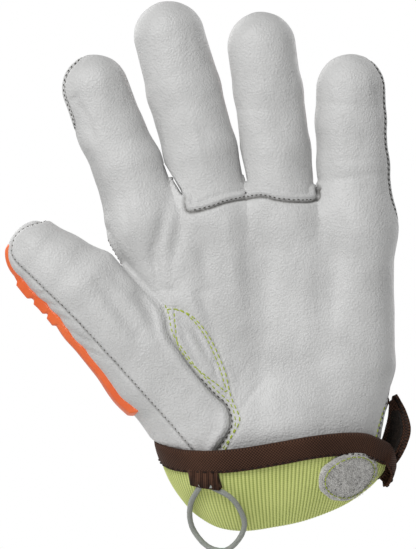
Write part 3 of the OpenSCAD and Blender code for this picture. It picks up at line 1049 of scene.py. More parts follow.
def finger_guard(name, count, reach):
    """A finger's guard: its name, its outline as a distance inside, and its height there."""
    pitch = (reach - GUARD_FOOT) / count

    def outline(p):
        middle, half = (reach + GUARD_FOOT) / 2, (reach - GUARD_FOOT) / 2
        return on_back(p, rounded_box(lateral(p, name), height_on(p, name) - middle, 8.6, half, 6))

    def height(p, edge):
        ribs = bars(height_on(p, name) - GUARD_FOOT - pitch / 2, pitch)
        middle = smooth_step(8.0 - np.abs(lateral(p, name)), 0, 2.5)
        return 1.5 * smooth_step(edge, -0.4, 1.6) + 1.5 * ribs * middle * smooth_step(edge, 0.5, 2.5)

    return name, outline, height


def thumb_strip(p):
    """The outline of the thumb's guard, which widens above the fork."""
    along = height_on(p, "thumb")
    half = 5.0 + 4.5 * smooth_step(along, 2, 12)
    centre = -27.0 + 4.0 * smooth_step(along, 2, 12)
    side = np.minimum(half - np.abs(p[:, 1] - centre), -lateral(p, "thumb") - 3)
    return np.minimum(side, np.minimum(53.5 - along, along + 41) * 0.9)


def thumb_height(p, edge):
    """Three ribs, then a long smooth bar down to the wrist."""
    along = height_on(p, "thumb")
    ribs = sum(smooth_step(half - np.abs(along - at), 0, 1.6) for at, half in THUMB_RIBS)
    tip = smooth_step(along, 38, 41)
    return smooth_step(edge, -0.6, 2.0) * (2.0 - 0.9 * tip + 1.5 * ribs)


def knuckles(p):
    """The outline of the bar over the knuckles, which arches towards the middle fingers."""
    dip = 2.5 * np.cos((p[:, 0] + 16) / 60 * math.pi) - 2.5
    return on_back(p, rounded_box(p[:, 0] + 14, p[:, 2] - 122 - dip, 56, 10.5, 7))


def knuckle_height(p, edge):
    """A raised pad over each knuckle."""
    boxes = [rounded_box(p[:, 0] - x, p[:, 2] - 121.5, 12.2, 8.2, 4) for x in KNUCKLE_PADS_X]
    return 1.6 * smooth_step(edge, -0.4, 1.8) + 2.2 * sum(smooth_step(box, 0, 2.2) for box in boxes)


def hand_plate(p):
    """The outline of the plate on the back of the hand, which narrows towards the wrist."""
    return on_back(p, rounded_box(p[:, 0] - 4, p[:, 2] - 90, 38 - 0.12 * (108 - p[:, 2]), 18, 8))


def hand_height(p, edge):
    """Four ribs along the hand."""
    boxes = [rounded_box(p[:, 0] - x, p[:, 2] - 90, 5.5, 14, 4) for x in HAND_RIBS_X]
    return 1.5 * smooth_step(edge, -0.4, 1.8) + 1.5 * sum(smooth_step(box, 0, 2) for box in boxes)


def guard_parts(name):
    """The pieces of a guard: label, body, and the heights on its digit that each lies between."""
    if name not in DIGITS:
        return [(name, "hand", -NO_CUT, NO_CUT)]
    split = split_height(name)
    upper = (f"{name}_guard_upper", (name, "upper"), split, NO_CUT)
    if name != "thumb":
        return [(f"{name}_guard_lower", (name, "lower"), -NO_CUT, split), upper]
    root = ("thumb_root_guard", "hand", -NO_CUT, THUMB_BORDER)
    return [root, ("thumb_guard_lower", ("thumb", "lower"), THUMB_BORDER, split), upper]


def make_guards(skin, material):
    """Rubber guards moulded on the leather: each follows the skin below it, and a digit's guard is cut in
    pieces where its skin is.
    """
    plans = [finger_guard(name, *sizes) for name, sizes in FINGER_GUARDS.items()]
    plans.append(("thumb", thumb_strip, thumb_height))
    plans.append(("knuckle_guard", knuckles, knuckle_height))
    plans.append(("hand_guard", hand_plate, hand_height))
    for name, outline, height in plans:
        near = outline(skin.points)[skin.faces].max(1) > -2
        patch = skin.part(near)
        patch.cut(outline(patch.points), "outline")
        base = np.stack([patch.levels["smooth_" + axis] for axis in "xyz"], 1)
        normals = relax(point_normals(base, patch.faces), patch.faces, 10)
        edge = outline(patch.points)
        lean = normals[edge > 0].mean(0)
        ways = unit_rows(normals + GUARD_LEAN * lean / np.linalg.norm(lean))
        inside = edge[patch.faces].mean(1) > 0
        thick = height(patch.points, edge)[:, None] + GUARD_LIFT
        top = base + ways * thick
        top_normals = point_normals(top, patch.faces)
        along = np.zeros(len(inside))
        if name in DIGITS:
            along = height_on(patch.points, name)[patch.faces].mean(1)
        for label, body, low, high in guard_parts(name):
            used, faces = np.unique(patch.faces[inside & (along > low) & (along < high)], return_inverse=True)
            piece = shell(
                label, top[used], faces.reshape(-1, 3), top_normals[used], thick[used] + GUARD_SINK,
                ways=ways[used],
            )
            finish_piece(piece, [label], body, material, "guard_rubber")


# ---------------------------------------------------------------- stitches

STITCH_RINGS = [(-1.0, 0.35), (-0.55, 1.0), (0.55, 1.0), (1.0, 0.35)]
STITCH_SIDES = 6


def stitch_mesh(places, directions, ups, length, radius):
    """Points and faces of a row of stitches, each a short thread with round shoulders and sunk ends."""
    points, faces = [], []
    for place, direction, up in zip(places, directions, ups):
        direction = direction / np.linalg.norm(direction)
        side = np.cross(direction, up)
        side /= np.linalg.norm(side)
        up = np.cross(side, direction)
        faces += ring_faces(len(STITCH_RINGS), STITCH_SIDES, len(points))
        for share, wide in STITCH_RINGS:
            centre = place + direction * share * length / 2 + up * radius * (0.5 if wide == 1.0 else -0.6)
            for turn in np.arange(STITCH_SIDES) * 2 * math.pi / STITCH_SIDES:
                points.append(centre + radius * wide * (math.cos(turn) * side + math.sin(turn) * up))
    return np.array(points), faces


def chains(edges):
    """Joins edges end to end into runs of points."""
    links = {}
    for a, b in edges.tolist():
        links.setdefault(a, []).append(b)
        links.setdefault(b, []).append(a)
    ends = [p for p, near in links.items() if len(near) == 1] + list(links)
    seen = set()
    for start in ends:
        if start in seen:
            continue
        run = [start]
        seen.add(start)
        while True:
            ahead = [p for p in links[run[-1]] if p not in seen]
            if not ahead:
                break
            run.append(ahead[0])
            seen.add(ahead[0])
        if len(run) > 3:
            yield run


def along_run(points, pitch):
    """Places at a pitch along a run of points: the run's position numbers."""
    gone = run_length(points)
    at = np.arange(pitch / 2, gone[-1], pitch)
    return np.interp(at, gone, np.arange(len(points)))


def sew(skin, normals, row, line, keep, material, sizes):
    """A row of stitches along a named line of the skin, in one piece for each body that it crosses."""
    pitch, length, radius = sizes
    flags = skin.lines[line]
    pairs = face_edges(skin.faces)
    pairs = pairs[flags[pairs].all(1)]
    edges = np.unique(np.sort(pairs, axis=1), axis=0)
    groups = {}
    for run in chains(edges):
        run = np.array(run)
        points, ups = skin.points[run], normals[run]
        spots = along_run(points, pitch)
        for spot in spots:
            i = int(min(spot, len(run) - 2))
            share = spot - i
            place = points[i] + share * (points[i + 1] - points[i])
            if not keep(place):
                continue
            direction = points[min(i + 2, len(run) - 1)] - points[max(i - 1, 0)]
            if np.linalg.norm(direction) < 0.2:
                continue
            levels = {key: skin.levels[key][run[i]] for key in skin.levels}
            groups.setdefault(part_of(levels), []).append((place, direction, ups[i]))
    for body, made in groups.items():
        places, directions, upward = (np.array(v) for v in zip(*made))
        points, faces = stitch_mesh(places, directions, upward, length, radius)
        label = row + "_" + (body if isinstance(body, str) else "_".join(body))
        piece = make_object(label, points, faces)
        finish_piece(piece, [], body, material, "goat_leather")


def part_of(level):
    """The body, or the digit and part, that a point of the skin goes with."""
    if level["zone"] > 0:
        name, base = "thumb", level["thumb"] > THUMB_BORDER
    else:
        name = min(FINGERS, key=lambda other: level["near_" + other])
        base = level["border"] > 0
    if not base:
        return "hand"
    return name, "lower" if level[name] < split_height(name) else "upper"


def outer_side(p):
    """Whether a point lies on the little finger's side of the hand, or on the index finger's."""
    return p[2] > 24 and (p[0] > 43 or height_on(p, "index") > 30 and p[0] < -84)


def make_stitches(skin, normals, lime, dark):
    """The rows that the palm side shows, and the seams down the fingers' sides."""
    # Each row: name, line on the skin, where it is kept, thread, and pitch, length and radius.
    rows = [
        ("gusset_outer_stitch", "gusset_1", lambda p: p[2] > 24 and p[0] > -48, lime, (3.0, 2.2, 0.27)),
        ("gusset_lens_stitch", "lens_0", lambda p: p[2] > 45, lime, (2.6, 2.0, 0.26)),
        ("thumb_edge_stitch", "zone_-2.6", lambda p: 24 < p[2] < 92 and p[1] < -18, lime, (2.9, 2.0, 0.24)),
        ("thumb_roll_stitch", "zone_-1", lambda p: 24 < p[2] < 60 and p[1] < -18, dark, (2.6, 1.6, 0.26)),
        ("thumb_seam_stitch", "thumb_seam_0.9", lambda p: p[2] > 24, dark, (2.3, 1.0, 0.2)),
        ("side_stitch", "side_1", outer_side, dark, (2.3, 1.3, 0.22)),
        ("back_side_stitch", "side_-1", outer_side, dark, (2.3, 1.3, 0.22)),
        ("wrist_stitch", "side_2.2", lambda p: p[0] > 34 and 25 < p[2] < 46, lime, (2.6, 2.0, 0.26)),
        ("base_seam_stitch", "border_0.9", lambda p: -36 < p[0] < 17 and p[1] < -26, dark, (2.2, 1.2, 0.2)),
    ]
    for row in rows:
        sew(skin, normals, *row)


# ---------------------------------------------------------------- the cuff

# The turned-back band, by turn from the little-finger side: its fold (x, y, z) and its rim (x, y, z).
BAND_ROWS = [
    (0, 43, -4, 13, 53, -10, 45), (20, 40, 6, 14, 50.5, 2, 50), (50, 28, 17, 15, 37, 14, 54),
    (90, 0, 24.5, 12, 0, 20, 56), (130, -26, 18, 7, -37, 11, 50), (155, -35, 9, 4, -49, 0, 42),
    (180, -38.5, -2, 1, -53.5, -15, 32), (205, -35.5, -12, -3, -49, -29, 27.6),
    (230, -26, -21, -8.5, -35, -41, 26.2), (250, -14, -25.5, -10, -19, -48, 27.2),
    (270, 0, -26.5, -8.2, -1, -50, 30), (290, 13, -25.8, -5.5, 17, -48, 33),
    (310, 27, -22, -0.6, 33, -41, 34.2), (328, 36.5, -17, 4.5, 44, -32, 33),
    (345, 44, -11, 11, 51.5, -22, 29),
]


def all_round(rows):
    """Rows by turn, with the last and the first three repeated past each end."""
    before = [(row[0] - 360, *row[1:]) for row in rows[-3:]]
    after = [(row[0] + 360, *row[1:]) for row in rows[:3]]
    return before + rows + after


BAND_CURVE = smooth_line(all_round(BAND_ROWS), 8)
BAND_CENTRE = np.array((0.0, -12.0, 20.0))
WALE = 1.65
FOLD_RADIUS = 2.4
LINING_RISE = 15.0
BELLY = 2.6
WRIST_CLEAR = 3.0


def band_row(turn):
    """The band's fold and rim at a turn, in degrees."""
    row = np.array([np.interp(turn, BAND_CURVE[:, 0], BAND_CURVE[:, k]) for k in range(1, 7)])
    return row[:3], row[3:]


def band_axes(turn):
    """The band's fold at a turn, its height, its way up and its way out."""
    fold, rim = band_row(turn)
    height = np.linalg.norm(rim - fold)
    up = (rim - fold) / height
    outward = np.array((math.cos(math.radians(turn)), math.sin(math.radians(turn)), 0.0))
    outward -= up * (outward @ up)
    return fold, height, up, outward / np.linalg.norm(outward)


def band_point(turn, rise, out):
    """A point of the band, a rise above its fold and out from its face, with a slight belly half way up."""
    fold, height, up, outward = band_axes(turn)
    belly = BELLY * math.sin(math.pi * min(max(rise / height, 0), 1))
    return fold + up * rise + outward * (out + belly)


def tuck_in(points):
    """Draws the leather in where the band goes round it."""
    spots, rises, axes = [], [], []
    for turn in range(0, 360, 6):
        for share in np.linspace(0, 1, 9):
            fold, height, up, outward = band_axes(turn)
            spots.append(band_point(turn, share * height, 0))
            rises.append((share * height, height))
            axes.append((up, outward))
    spots, rises, axes = np.array(spots), np.array(rises), np.array(axes)
    low = np.flatnonzero(points[:, 2] < 66)
    squares = (spots**2).sum(1)
    blocks = np.array_split(points[low], 20)
    nearest = np.concatenate([(squares - 2 * block @ spots.T).argmin(1) for block in blocks])
    away = points[low] - spots[nearest]
    rise = rises[nearest, 0] + (away * axes[nearest, 0]).sum(1)
    over = (away * axes[nearest, 1]).sum(1) + WRIST_CLEAR
    held = 1 - smooth_step(rise - rises[nearest, 1], -4, 3)
    points = points.copy()
    points[low] -= axes[nearest, 1] * (np.maximum(over, 0) * held)[:, None]
    return points


def band_sheet(turns, profile, rib):
    """Points and weave coordinates of a sheet round the band. profile gives each turn's (rise, out) list."""
    points, weave = [], []
    gone, last = 0.0, None
    for turn in turns:
        here = band_point(turn, 20, 0)
        gone += 0.0 if last is None else np.linalg.norm(here - last)
        last = here
        ridge = rib * (abs(math.sin(math.pi * gone / WALE)) - 0.6)
        run, before = 0.0, None
        for rise, out in profile(turn):
            point = band_point(turn, rise, out + (ridge if out > -FOLD_RADIUS else -ridge))
            run += 0.0 if before is None else np.linalg.norm(point - before)
            before = point
            points.append(point)
            weave.append((gone * MM, run * MM, 0.0))
    return np.array(points), np.array(weave)


def grid_faces(rows, columns):
    """Triangles of a grid of rows by columns of points."""
    at = np.arange(rows * columns).reshape(rows, columns)
    a, b, c, d = (part.ravel() for part in (at[:-1, :-1], at[1:, :-1], at[1:, 1:], at[:-1, 1:]))
    return np.vstack([np.stack([a, b, c], 1), np.stack([a, c, d], 1)])


def band_height(turn):
    """The band's height from its fold to its rim."""
    return band_axes(turn)[1]


def lining_profile(turn):
    """Down the outer face from under the tape, round the fold and up inside the wrist."""
    top = band_height(turn) - 1.5
    outer = [(rise, 0.0) for rise in np.linspace(top, FOLD_RADIUS, 15)]
    angles = np.linspace(0.3, math.pi - 0.3, 7)
    bend = [(FOLD_RADIUS * (1 - math.sin(a)), FOLD_RADIUS * (math.cos(a) - 1)) for a in angles]
    share = np.linspace(0, 1, 6)
    inner = [(FOLD_RADIUS + LINING_RISE * s, -2 * FOLD_RADIUS - 4.5 * s) for s in share]
    return outer + bend + inner


def shell_profile(turn):
    """The cuff's own outer cloth, which faces inwards now that the cuff is turned back."""
    top = band_height(turn) - 1.5
    return [(rise, -1.5) for rise in np.linspace(top, FOLD_RADIUS + 1, 8)]


def make_band(name, first, last, profile, rib, columns, thickness, material, slot):
    """One half of the band's lining or shell."""
    turns = np.linspace(first, last, columns)
    points, weave = band_sheet(turns, profile, rib)
    faces = grid_faces(columns, len(profile(first)))
    if point_normals(points, faces)[0] @ (points[0] - BAND_CENTRE) < 0:
        faces = faces[:, ::-1]
    normals = point_normals(points, faces)
    piece = shell(name, points, faces, normals, thickness, {"weave": weave})
    finish_piece(piece, [name], "hand", material, slot)


# The tape's section: how far in from the cloth's edge and how far out from its face.
TAPE_SECTION = [
    (9.3, 0.3), (9.2, 0.9), (8.3, 1.05), (7.6, 1.3), (4.5, 1.45), (1.5, 1.35), (0, 1.0), (-0.9, 0.0),
    (-1.0, -1.4), (-0.2, -2.9), (2, -3.3), (5, -3.3), (5, -2.6), (0.6, -2.4), (0.2, 0.2),
]


def tape_frames(path):
    """Three ways at each point of the cloth's edge: in from the edge, out from the face and along."""
    along = unit_rows(np.gradient(path, axis=0))
    outward = unit_rows((path - BAND_CENTRE) * (1.0, 1.3, 0.0)) + (0, 0, -0.35)
    outward = unit_rows(outward - along * (outward * along).sum(1)[:, None])
    return np.cross(along, outward), outward, along


def make_tape(name, path, material, thread):
    """A folded tape sewn over a cloth's edge, with a row of stitches near its lower side."""
    path = smooth_line(path, 4)
    gone = run_length(path)
    even = np.arange(0, gone[-1], 1.2)
    path = np.stack([np.interp(even, gone, path[:, i]) for i in range(3)], 1)
    inward, outward, along = tape_frames(path)
    waver = 0.12 * np.array([noise.noise(Vector(p) * 0.12) for p in path])
    points, weave = [], []
    for i in range(len(path)):
        for b, o in TAPE_SECTION:
            points.append(path[i] + inward[i] * b + outward[i] * (o + waver[i] * (o > 0)))
            weave.append((even[i] * MM, b * MM if o > 0 else -b * MM, 0))
    faces = ring_faces(len(path), len(TAPE_SECTION))
    piece = make_object(name, np.array(points), faces, attributes={"weave": np.array(weave)})
    outward_faces(piece)
    finish_piece(piece, [name], "hand", material, "binding_tape")
    spots = np.arange(1, len(path) - 1, 3)
    row = [path[i] + inward[i] * 8.3 + outward[i] * 1.15 for i in spots]
    sewn = make_object(name + "_stitch", *stitch_mesh(row, along[spots], outward[spots], 2.2, 0.3))
    finish_piece(sewn, [], "hand", thread, "binding_tape")


def outward_faces(piece):
    """Turns a closed mesh's faces outwards."""
    shape = bmesh.new()
    shape.from_mesh(piece.data)
    bmesh.ops.recalc_face_normals(shape, faces=shape.faces)
    shape.to_mesh(piece.data)
    shape.free()


# ---------------------------------------------------------------- patch, anchor and hanging loop

PATCH_TURN, PATCH_RISE = 313.0, 19.0
PATCH_HALF = (13.2, 10.4)
PATCH_TILT = math.radians(30)
# Where the hanging loop runs, as in the part's source: its turn and height round the cuff.
LOOP_ROUTE = [
    (-131, 31.5), (-135, 27), (-143, 19), (-150, 9), (-150, 1), (-139, -5), (-124, -5), (-113, 2),
    (-108, 11), (-110, 20), (-115, 27), (-125, 31.5),
]
LOOP_OUT = 3.85
LOOP_RADIUS = 1.2
CUFF_LEAN, CUFF_SLOPE = math.radians(25), math.radians(-7)


def patch_place(a, b, out):
    """A point of the round patch, from its own long and short ways as they look from the front."""
    across = a * math.cos(PATCH_TILT) - b * math.sin(PATCH_TILT)
    lift = a * math.sin(PATCH_TILT) + b * math.cos(PATCH_TILT)
    middle = band_point(PATCH_TURN, PATCH_RISE, 0)
    by_turn = band_point(PATCH_TURN + 1, PATCH_RISE, 0) - middle
    by_rise = band_point(PATCH_TURN, PATCH_RISE + 1, 0) - middle
    turn, rise = np.linalg.solve(np.stack([by_turn[[0, 2]], by_rise[[0, 2]]], 1), (across, lift))
    return band_point(PATCH_TURN + turn, PATCH_RISE + rise, out)


PATCH_LIFT = 1.9
PATCH_RINGS, PATCH_SIDES = 9, 72
PATCH_SEAM = 0.84
NAP_LOOPS = 1500


def make_patch(pile, thread):
    """A disc of hook-and-loop pile with an uneven edge, a nap of fine loops and a ring of stitches."""
    points = [patch_place(0, 0, PATCH_LIFT)]
    for ring in range(1, PATCH_RINGS + 1):
        share = ring / PATCH_RINGS
        for k in range(PATCH_SIDES):
            turn = 2 * math.pi * k / PATCH_SIDES
            edge = 1 + 0.035 * noise.noise(Vector((math.cos(turn) * 3, math.sin(turn) * 3, 1)))
            a, b = (PATCH_HALF[i] * share * edge * (math.cos, math.sin)[i](turn) for i in range(2))
            dent = 0.45 * bell((share - PATCH_SEAM) * 12, 1.0)
            lump = 0.28 * noise.noise(Vector((a, b, 0)) * 0.7)
            points.append(patch_place(a, b, PATCH_LIFT - dent + lump - 0.7 * (share > 0.97)))
    faces = [(0, 1 + k, 1 + (k + 1) % PATCH_SIDES) for k in range(PATCH_SIDES)]
    for a, b, c, d in ring_faces(PATCH_RINGS, PATCH_SIDES, 1)[:-2]:
        faces += [(a, d, c), (a, c, b)]
    points, faces = np.array(points), np.array(faces)
    normals = point_normals(points, faces)
    if normals[0, 1] > 0:
        faces, normals = faces[:, ::-1], -normals
    disc = shell("loop_patch", points, faces, normals, 1.6)
    finish_piece(disc, ["loop_patch"], "hand", pile, "loop_fastener")
    make_nap(pile)
    turns = np.linspace(0, 2 * math.pi, 31)[:-1]
    a, b = (half * PATCH_SEAM for half in PATCH_HALF)
    ring = np.array([patch_place(a * math.cos(turn), b * math.sin(turn), 1.75) for turn in turns])
    ways = np.roll(ring, -1, 0) - np.roll(ring, 1, 0)
    ups = normals[:1].repeat(len(ring), 0)
    sewn = make_object("loop_patch_stitch", *stitch_mesh(ring, ways, ups, 2.3, 0.28))
    finish_piece(sewn, [], "hand", thread, "loop_fastener")


def make_nap(pile):
    """The patch's fine loops: short threads of three corners that lean each their own way."""
    points, faces = [], []
    for _ in range(NAP_LOOPS):
        turn, share = random.uniform(0, 2 * math.pi), math.sqrt(random.uniform(0, 0.95))
        a, b = PATCH_HALF[0] * share * math.cos(turn), PATCH_HALF[1] * share * math.sin(turn)
        root = patch_place(a, b, 1.5)
        lift = patch_place(a, b, 2.5) - root
        sway = random.normal(0, 0.35, 3)
        faces += ring_faces(3, 3, len(points))
        for step in (0, 0.5, 1):
            centre = root + lift * 1.1 * math.sin(step * math.pi * 0.75) + sway * step * 1.3
            for corner in np.eye(3) * 0.085:
                points.append(centre + corner)
    finish_piece(make_object("loop_patch_nap", np.array(points), faces), [], "hand", pile, "loop_fastener")


def cuff_point(turn, height, out):
    """A point round the cuff as the frame has it, from its turn, its height and how far out it lies."""
    share = height / 44
    x = 6 * share + (38 + 14 * share + out) * math.cos(math.radians(turn))
    y = (29 + 10 * share + out) * math.sin(math.radians(turn))
    slope_cos, slope_sin = math.cos(CUFF_SLOPE), math.sin(CUFF_SLOPE)
    lean_cos, lean_sin = math.cos(CUFF_LEAN), math.sin(CUFF_LEAN)
    x, z = x * slope_cos + height * slope_sin, -x * slope_sin + height * slope_cos
    return np.array((x, y * lean_cos - z * lean_sin, y * lean_sin + z * lean_cos))


def make_tube(name, path, radius, sides, braid):
    """A closed tube along a path, with a faint braid."""
    along = unit_rows(np.gradient(path, axis=0))
    side = unit_rows(np.cross(along, (0, 1.0, 0)))
    up = np.cross(side, along)
    gone = run_length(path)
    points, weave = [], []
    for i, centre in enumerate(path):
        for k in range(sides):
            turn = 2 * math.pi * k / sides
            swell = radius + braid * math.sin(gone[i] * 5 + turn * 3) * math.sin(gone[i] * 5 - turn * 3)
            points.append(centre + swell * (math.cos(turn) * side[i] + math.sin(turn) * up[i]))
            weave.append((turn * radius * MM, gone[i] * MM, 0))
    faces = ring_faces(len(path), sides)
    made = make_object(name, np.array(points), faces, attributes={"weave": np.array(weave)})
    outward_faces(made)
    return made, gone[-1]


def make_loop(cord_material, tape_material):
    """The elastic hanging loop, and the flat anchor that holds its two ends below the tape."""
    path = smooth_line([cuff_point(turn, height, LOOP_OUT) for turn, height in LOOP_ROUTE], 3)
    loop, length = make_tube("hanging_loop", path, LOOP_RADIUS, 10, 0.05)
    finish_piece(loop, ["hanging_loop"], "hand", cord_material, "elastic_cord")
    rows = []
    turns = np.linspace(-137, -119, 13)
    for turn in turns:
        rows += [cuff_point(turn, 30.65, 5.3), cuff_point(turn, 30.65, 2.2)]
        rows += [band_point(turn + 360, 35, 0.3), band_point(turn + 360, 35, 0.9)]
    weave = np.array(rows) * MM
    faces = ring_faces(len(turns), 4)
    anchor = make_object("loop_anchor", np.array(rows), faces, attributes={"weave": weave})
    outward_faces(anchor)
    finish_piece(anchor, ["loop_anchor"], "hand", tape_material, "binding_tape")


# ---------------------------------------------------------------- the closure tab

# The tab's hinge line on the back band, and its free edge, from its lower end up.
TAB_HINGE = smooth_line([(42.5, 2.5, 15), (47.5, -2, 26), (51.5, -6, 39), (53, -9, 51)], 6)
TAB_EDGE = smooth_line([
    (49, -6.5, 14), (56, -13.5, 22.5), (60, -16, 31), (61, -16.5, 37.5), (58.5, -15, 45.5), (55, -11, 52),
], 6)
TAB_ROWS, TAB_COLUMNS = 46, 26


def tab_place(along, across):
    """A point of the tab's middle sheet, from its lower end up and from its hinge out."""
    ends = []
    for line in (TAB_HINGE, TAB_EDGE):
        at = along * (len(line) - 1)
        ends.append(np.array([np.interp(at, np.arange(len(line)), line[:, i]) for i in range(3)]))
    return ends[0] + across * (ends[1] - ends[0])


def tab_sheet(name, low, high, near, far, half, out, material, slot, nodes):
    """A padded piece of the tab between shares of its length and width, half a thickness each side of out."""
    grid = [(u, v) for u in np.linspace(low, high, TAB_ROWS) for v in np.linspace(near, far, TAB_COLUMNS)]
    points = np.array([tab_place(u, v) for u, v in grid])
    faces = grid_faces(TAB_ROWS, TAB_COLUMNS)
    normals = point_normals(points, faces)
    if normals.mean(0) @ (1, 0, 0) < 0:
        faces, normals = faces[:, ::-1], -normals
    sides = points.reshape(TAB_ROWS, TAB_COLUMNS, 3)
    width = np.linalg.norm(sides[:, -1] - sides[:, 0], axis=1)[:, None]
    length = np.linalg.norm(sides[-1] - sides[0], axis=1)[None]
    u, v = ((np.array(grid)[:, i] - a) / (b - a) for i, a, b in ((0, low, high), (1, near, far)))
    u, v = u.reshape(TAB_ROWS, -1), v.reshape(TAB_ROWS, -1)
    edge = np.minimum(np.minimum(u, 1 - u) * length, (1 - v) * width).ravel()
    bulge = half(edge) + 0.12 * np.array([noise.noise(Vector(p) * 0.4) for p in points])
    top = points + normals * (out + bulge)[:, None]
    turned = point_normals(top, faces)
    piece = shell(name, top, faces, turned, 2 * bulge[:, None], {"weave": points[:, (1, 2, 0)] * MM})
    finish_piece(piece, nodes, "closure", material, slot)
    return top.reshape(TAB_ROWS, TAB_COLUMNS, 3), turned.reshape(TAB_ROWS, TAB_COLUMNS, 3)


def taped_half(edge):
    """Half the tab's thickness: a taped edge round a padded middle."""
    return 0.35 + 1.0 * smooth_step(edge, -0.4, 1.4) - 0.4 * smooth_step(edge, 4.2, 5.2)


def hook_half(edge):
    """Half the hook patch's thickness."""
    return 0.25 + 0.4 * smooth_step(edge, -0.2, 1.2)


def make_closure(tape, pile, thread):
    """The dark tab that closes the cuff's slit, with hooks on its inner side and a row of stitches."""
    top, turned = tab_sheet("closure_tab", 0, 1, 0, 1, taped_half, 0, tape, "cuff_leather", ["closure_tab"])
    tab_sheet("hook_patch", 0.2, 0.8, 0.25, 0.8, hook_half, -1.2, pile, "hook_fastener", ["hook_patch"])
    column = round(TAB_COLUMNS * 0.72)
    rows = np.arange(3, TAB_ROWS - 3, 2)
    row = top[rows, column]
    stitches = stitch_mesh(row, np.gradient(row, axis=0), turned[rows, column], 1.6, 0.25)
    sewn = make_object("closure_tab_stitch", *stitches)
    finish_piece(sewn, [], "closure", thread, "cuff_leather")


# ---------------------------------------------------------------- the liner inside

LINER_STEP = 3.0
LINER_INSET = 1.9
LINER_RIM = 14.0
LINER_THICKNESS = 0.8


def make_liners(material):
    """The soft lining behind the leather, one piece for each that the frame has."""

    def field(p):
        return skin_distance(p, LINER_INSET)

    points, faces = surface_net(sample_grid(field, LINER_STEP), LINER_STEP)
    points = settle(field, points)
    liner = Skin(points, faces, skin_levels(points))
    cut_liner(liner)
    normals = point_normals(liner.points, liner.faces)
    level = liner.over
    inside = above_rim(level) > LINER_RIM
    zone = level("zone") > 0
    above = (level("border") > 0) & ~zone
    taken = np.zeros(len(liner.faces), bool)
    parts = []
    for name in DIGITS:
        mine = zone & (level("thumb") > THUMB_BORDER) if name == "thumb" else above & own(level, name)
        taken |= mine
        parts.append((f"{name}_liner_lower", mine & (level(name) < split_height(name)), (name, "lower")))
        parts.append((f"{name}_liner_upper", mine & (level(name) > split_height(name)), (name, "upper")))
    parts.append(("hand_liner", ~taken, "hand"))
    for name, keep, body in parts:
        used, kept = np.unique(liner.faces[keep & inside], return_inverse=True)
        points = liner.points[used]
        weave = {"weave": points * MM}
        piece = shell(name, points, kept.reshape(-1, 3), normals[used], LINER_THICKNESS, weave)
        finish_piece(piece, [name], body, material, "knit_lining")


def cut_liner(liner):
    """The borders between the liner's pieces."""

    def level(key):
        return liner.levels[key]

    liner.cut(above_rim(level) - LINER_RIM, "rim")
    liner.cut(level("zone"), "zone")
    liner.cut(np.where(level("zone") < 0.5, level("border"), NO_CUT), "border")
    liner.cut(np.where(level("zone") > -0.5, level("thumb") - THUMB_BORDER, NO_CUT), "thumb_border")
    for name in DIGITS:
        liner.cut(np.where(own(level, name), level(name) - split_height(name), NO_CUT), name)


# ---------------------------------------------------------------- making the glove

STEP = 1.0


def make_floor():
    """A wide pale disc below the glove."""
    turns = np.linspace(0, 2 * math.pi, FLOOR_SIDES + 1)[:-1]
    points = [(FLOOR_RADIUS * math.cos(turn), FLOOR_RADIUS * math.sin(turn), FLOOR_Z) for turn in turns]
    data = bpy.data.meshes.new("floor")
    data.from_pydata(points, [], [tuple(range(FLOOR_SIDES))])
    floor = bpy.data.objects.new("floor", data)
    bpy.context.scene.collection.objects.link(floor)
    pale = Nodes("pale_floor", roughness=0.8)
    pale.set("Base Color", pale.mix(pale.noise(9.0), (0.78, 0.78, 0.78, 1), (0.83, 0.83, 0.83, 1)))
    floor.data.materials.append(pale.material)


def make_skin():
    """The glove's outer skin, with its edges along every seam."""
    points, faces = surface_net(sample_grid(skin_distance, STEP), STEP)
    points = settle(skin_distance, relax(points, faces))
    skin = Skin(points, faces, skin_levels(points))
    cut_skin(skin)
    skin.points = settle(skin_distance, skin.points, 1)
    skin.points = tuck_in(skin.points)
    for axis, values in zip("xyz", skin.points.T):
        skin.levels["smooth_" + axis] = values.copy()
    smooth_normals = point_normals(skin.points, skin.faces)
    height, seam_shade = relief(skin)
    skin.points = skin.points + smooth_normals * height[:, None]
    return skin, point_normals(skin.points, skin.faces), seam_shade


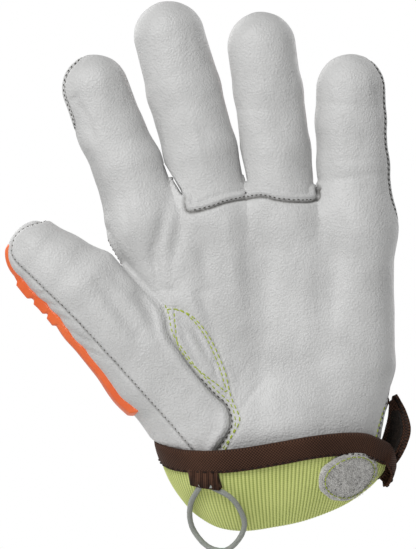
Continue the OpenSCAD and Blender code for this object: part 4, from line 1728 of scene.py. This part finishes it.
lime_knit = woven_material("lime_knit", (0.68, 0.74, 0.26, 1), (0.30, 0.36, 0.085, 1), WALE * MM, True)
brown_tape = woven_material(
    "brown_tape", (0.105, 0.05, 0.03, 1), (0.02, 0.009, 0.006, 1), 0.0014, False, 0.03
)
brown_cloth = woven_material(
    "brown_cloth", (0.045, 0.026, 0.019, 1), (0.012, 0.007, 0.005, 1), 0.0013, False, 0.03
)
grey_braid = woven_material("grey_braid", (0.44, 0.46, 0.43, 1), (0.22, 0.23, 0.21, 1), 0.0009, False)
grey_pile = fuzz_material("grey_pile", (0.80, 0.79, 0.76, 1), (0.52, 0.51, 0.49, 1), 1400.0, 0.4)
hook_pile = fuzz_material("hook_pile", (0.035, 0.022, 0.016, 1), (0.01, 0.007, 0.005, 1), 1600.0, 0.05)
pale_lining = woven_material("pale_lining", (0.55, 0.55, 0.52, 1), (0.3, 0.3, 0.28, 1), 0.0016, True)
lime_thread = thread_material("lime_thread", (0.50, 0.60, 0.07, 1))
dark_thread = thread_material("dark_thread", (0.05, 0.045, 0.035, 1))
brown_thread = thread_material("brown_thread", (0.02, 0.011, 0.008, 1))

FRONT_TURNS, BACK_TURNS = (180.0, 346.0), (18.0, 180.0)
FRONT_EDGE = [
    (51.5, -22, 29), (53.4, -18, 25), (54, -15, 20.5), (52.6, -12.5, 16.5), (50, -11, 14),
    (48, -10.5, 12),
]

make_loop(grey_braid, brown_tape)
# The third value is the painted seam shade for the leather.
skin, skin_normals, skin_seam_shade = make_skin()
make_leather(skin, skin_normals, skin_seam_shade, leather_material())
make_guards(skin, rubber_material())
make_stitches(skin, skin_normals, lime_thread, dark_thread)
make_liners(pale_lining)
make_band("cuff_front_lining", *FRONT_TURNS, lining_profile, 0.3, 540, 1.0, lime_knit, "knit_lining")
make_band("cuff_back_lining", *BACK_TURNS, lining_profile, 0.3, 500, 1.0, lime_knit, "knit_lining")
make_band("cuff_front_shell", *FRONT_TURNS, shell_profile, 0.0, 90, 0.9, brown_cloth, "cuff_leather")
make_band("cuff_back_shell", *BACK_TURNS, shell_profile, 0.0, 90, 0.9, brown_cloth, "cuff_leather")
front_rim = [band_row(turn)[1] for turn in np.arange(180, 338, 8)]
back_rim = [band_row(turn)[1] for turn in np.linspace(16, 180, 22)]
make_tape("cuff_front_binding", front_rim + FRONT_EDGE, brown_tape, brown_thread)
make_tape("cuff_back_binding", back_rim, brown_tape, brown_thread)
make_patch(grey_pile, lime_thread)
make_closure(brown_tape, hook_pile, brown_thread)

make_floor()
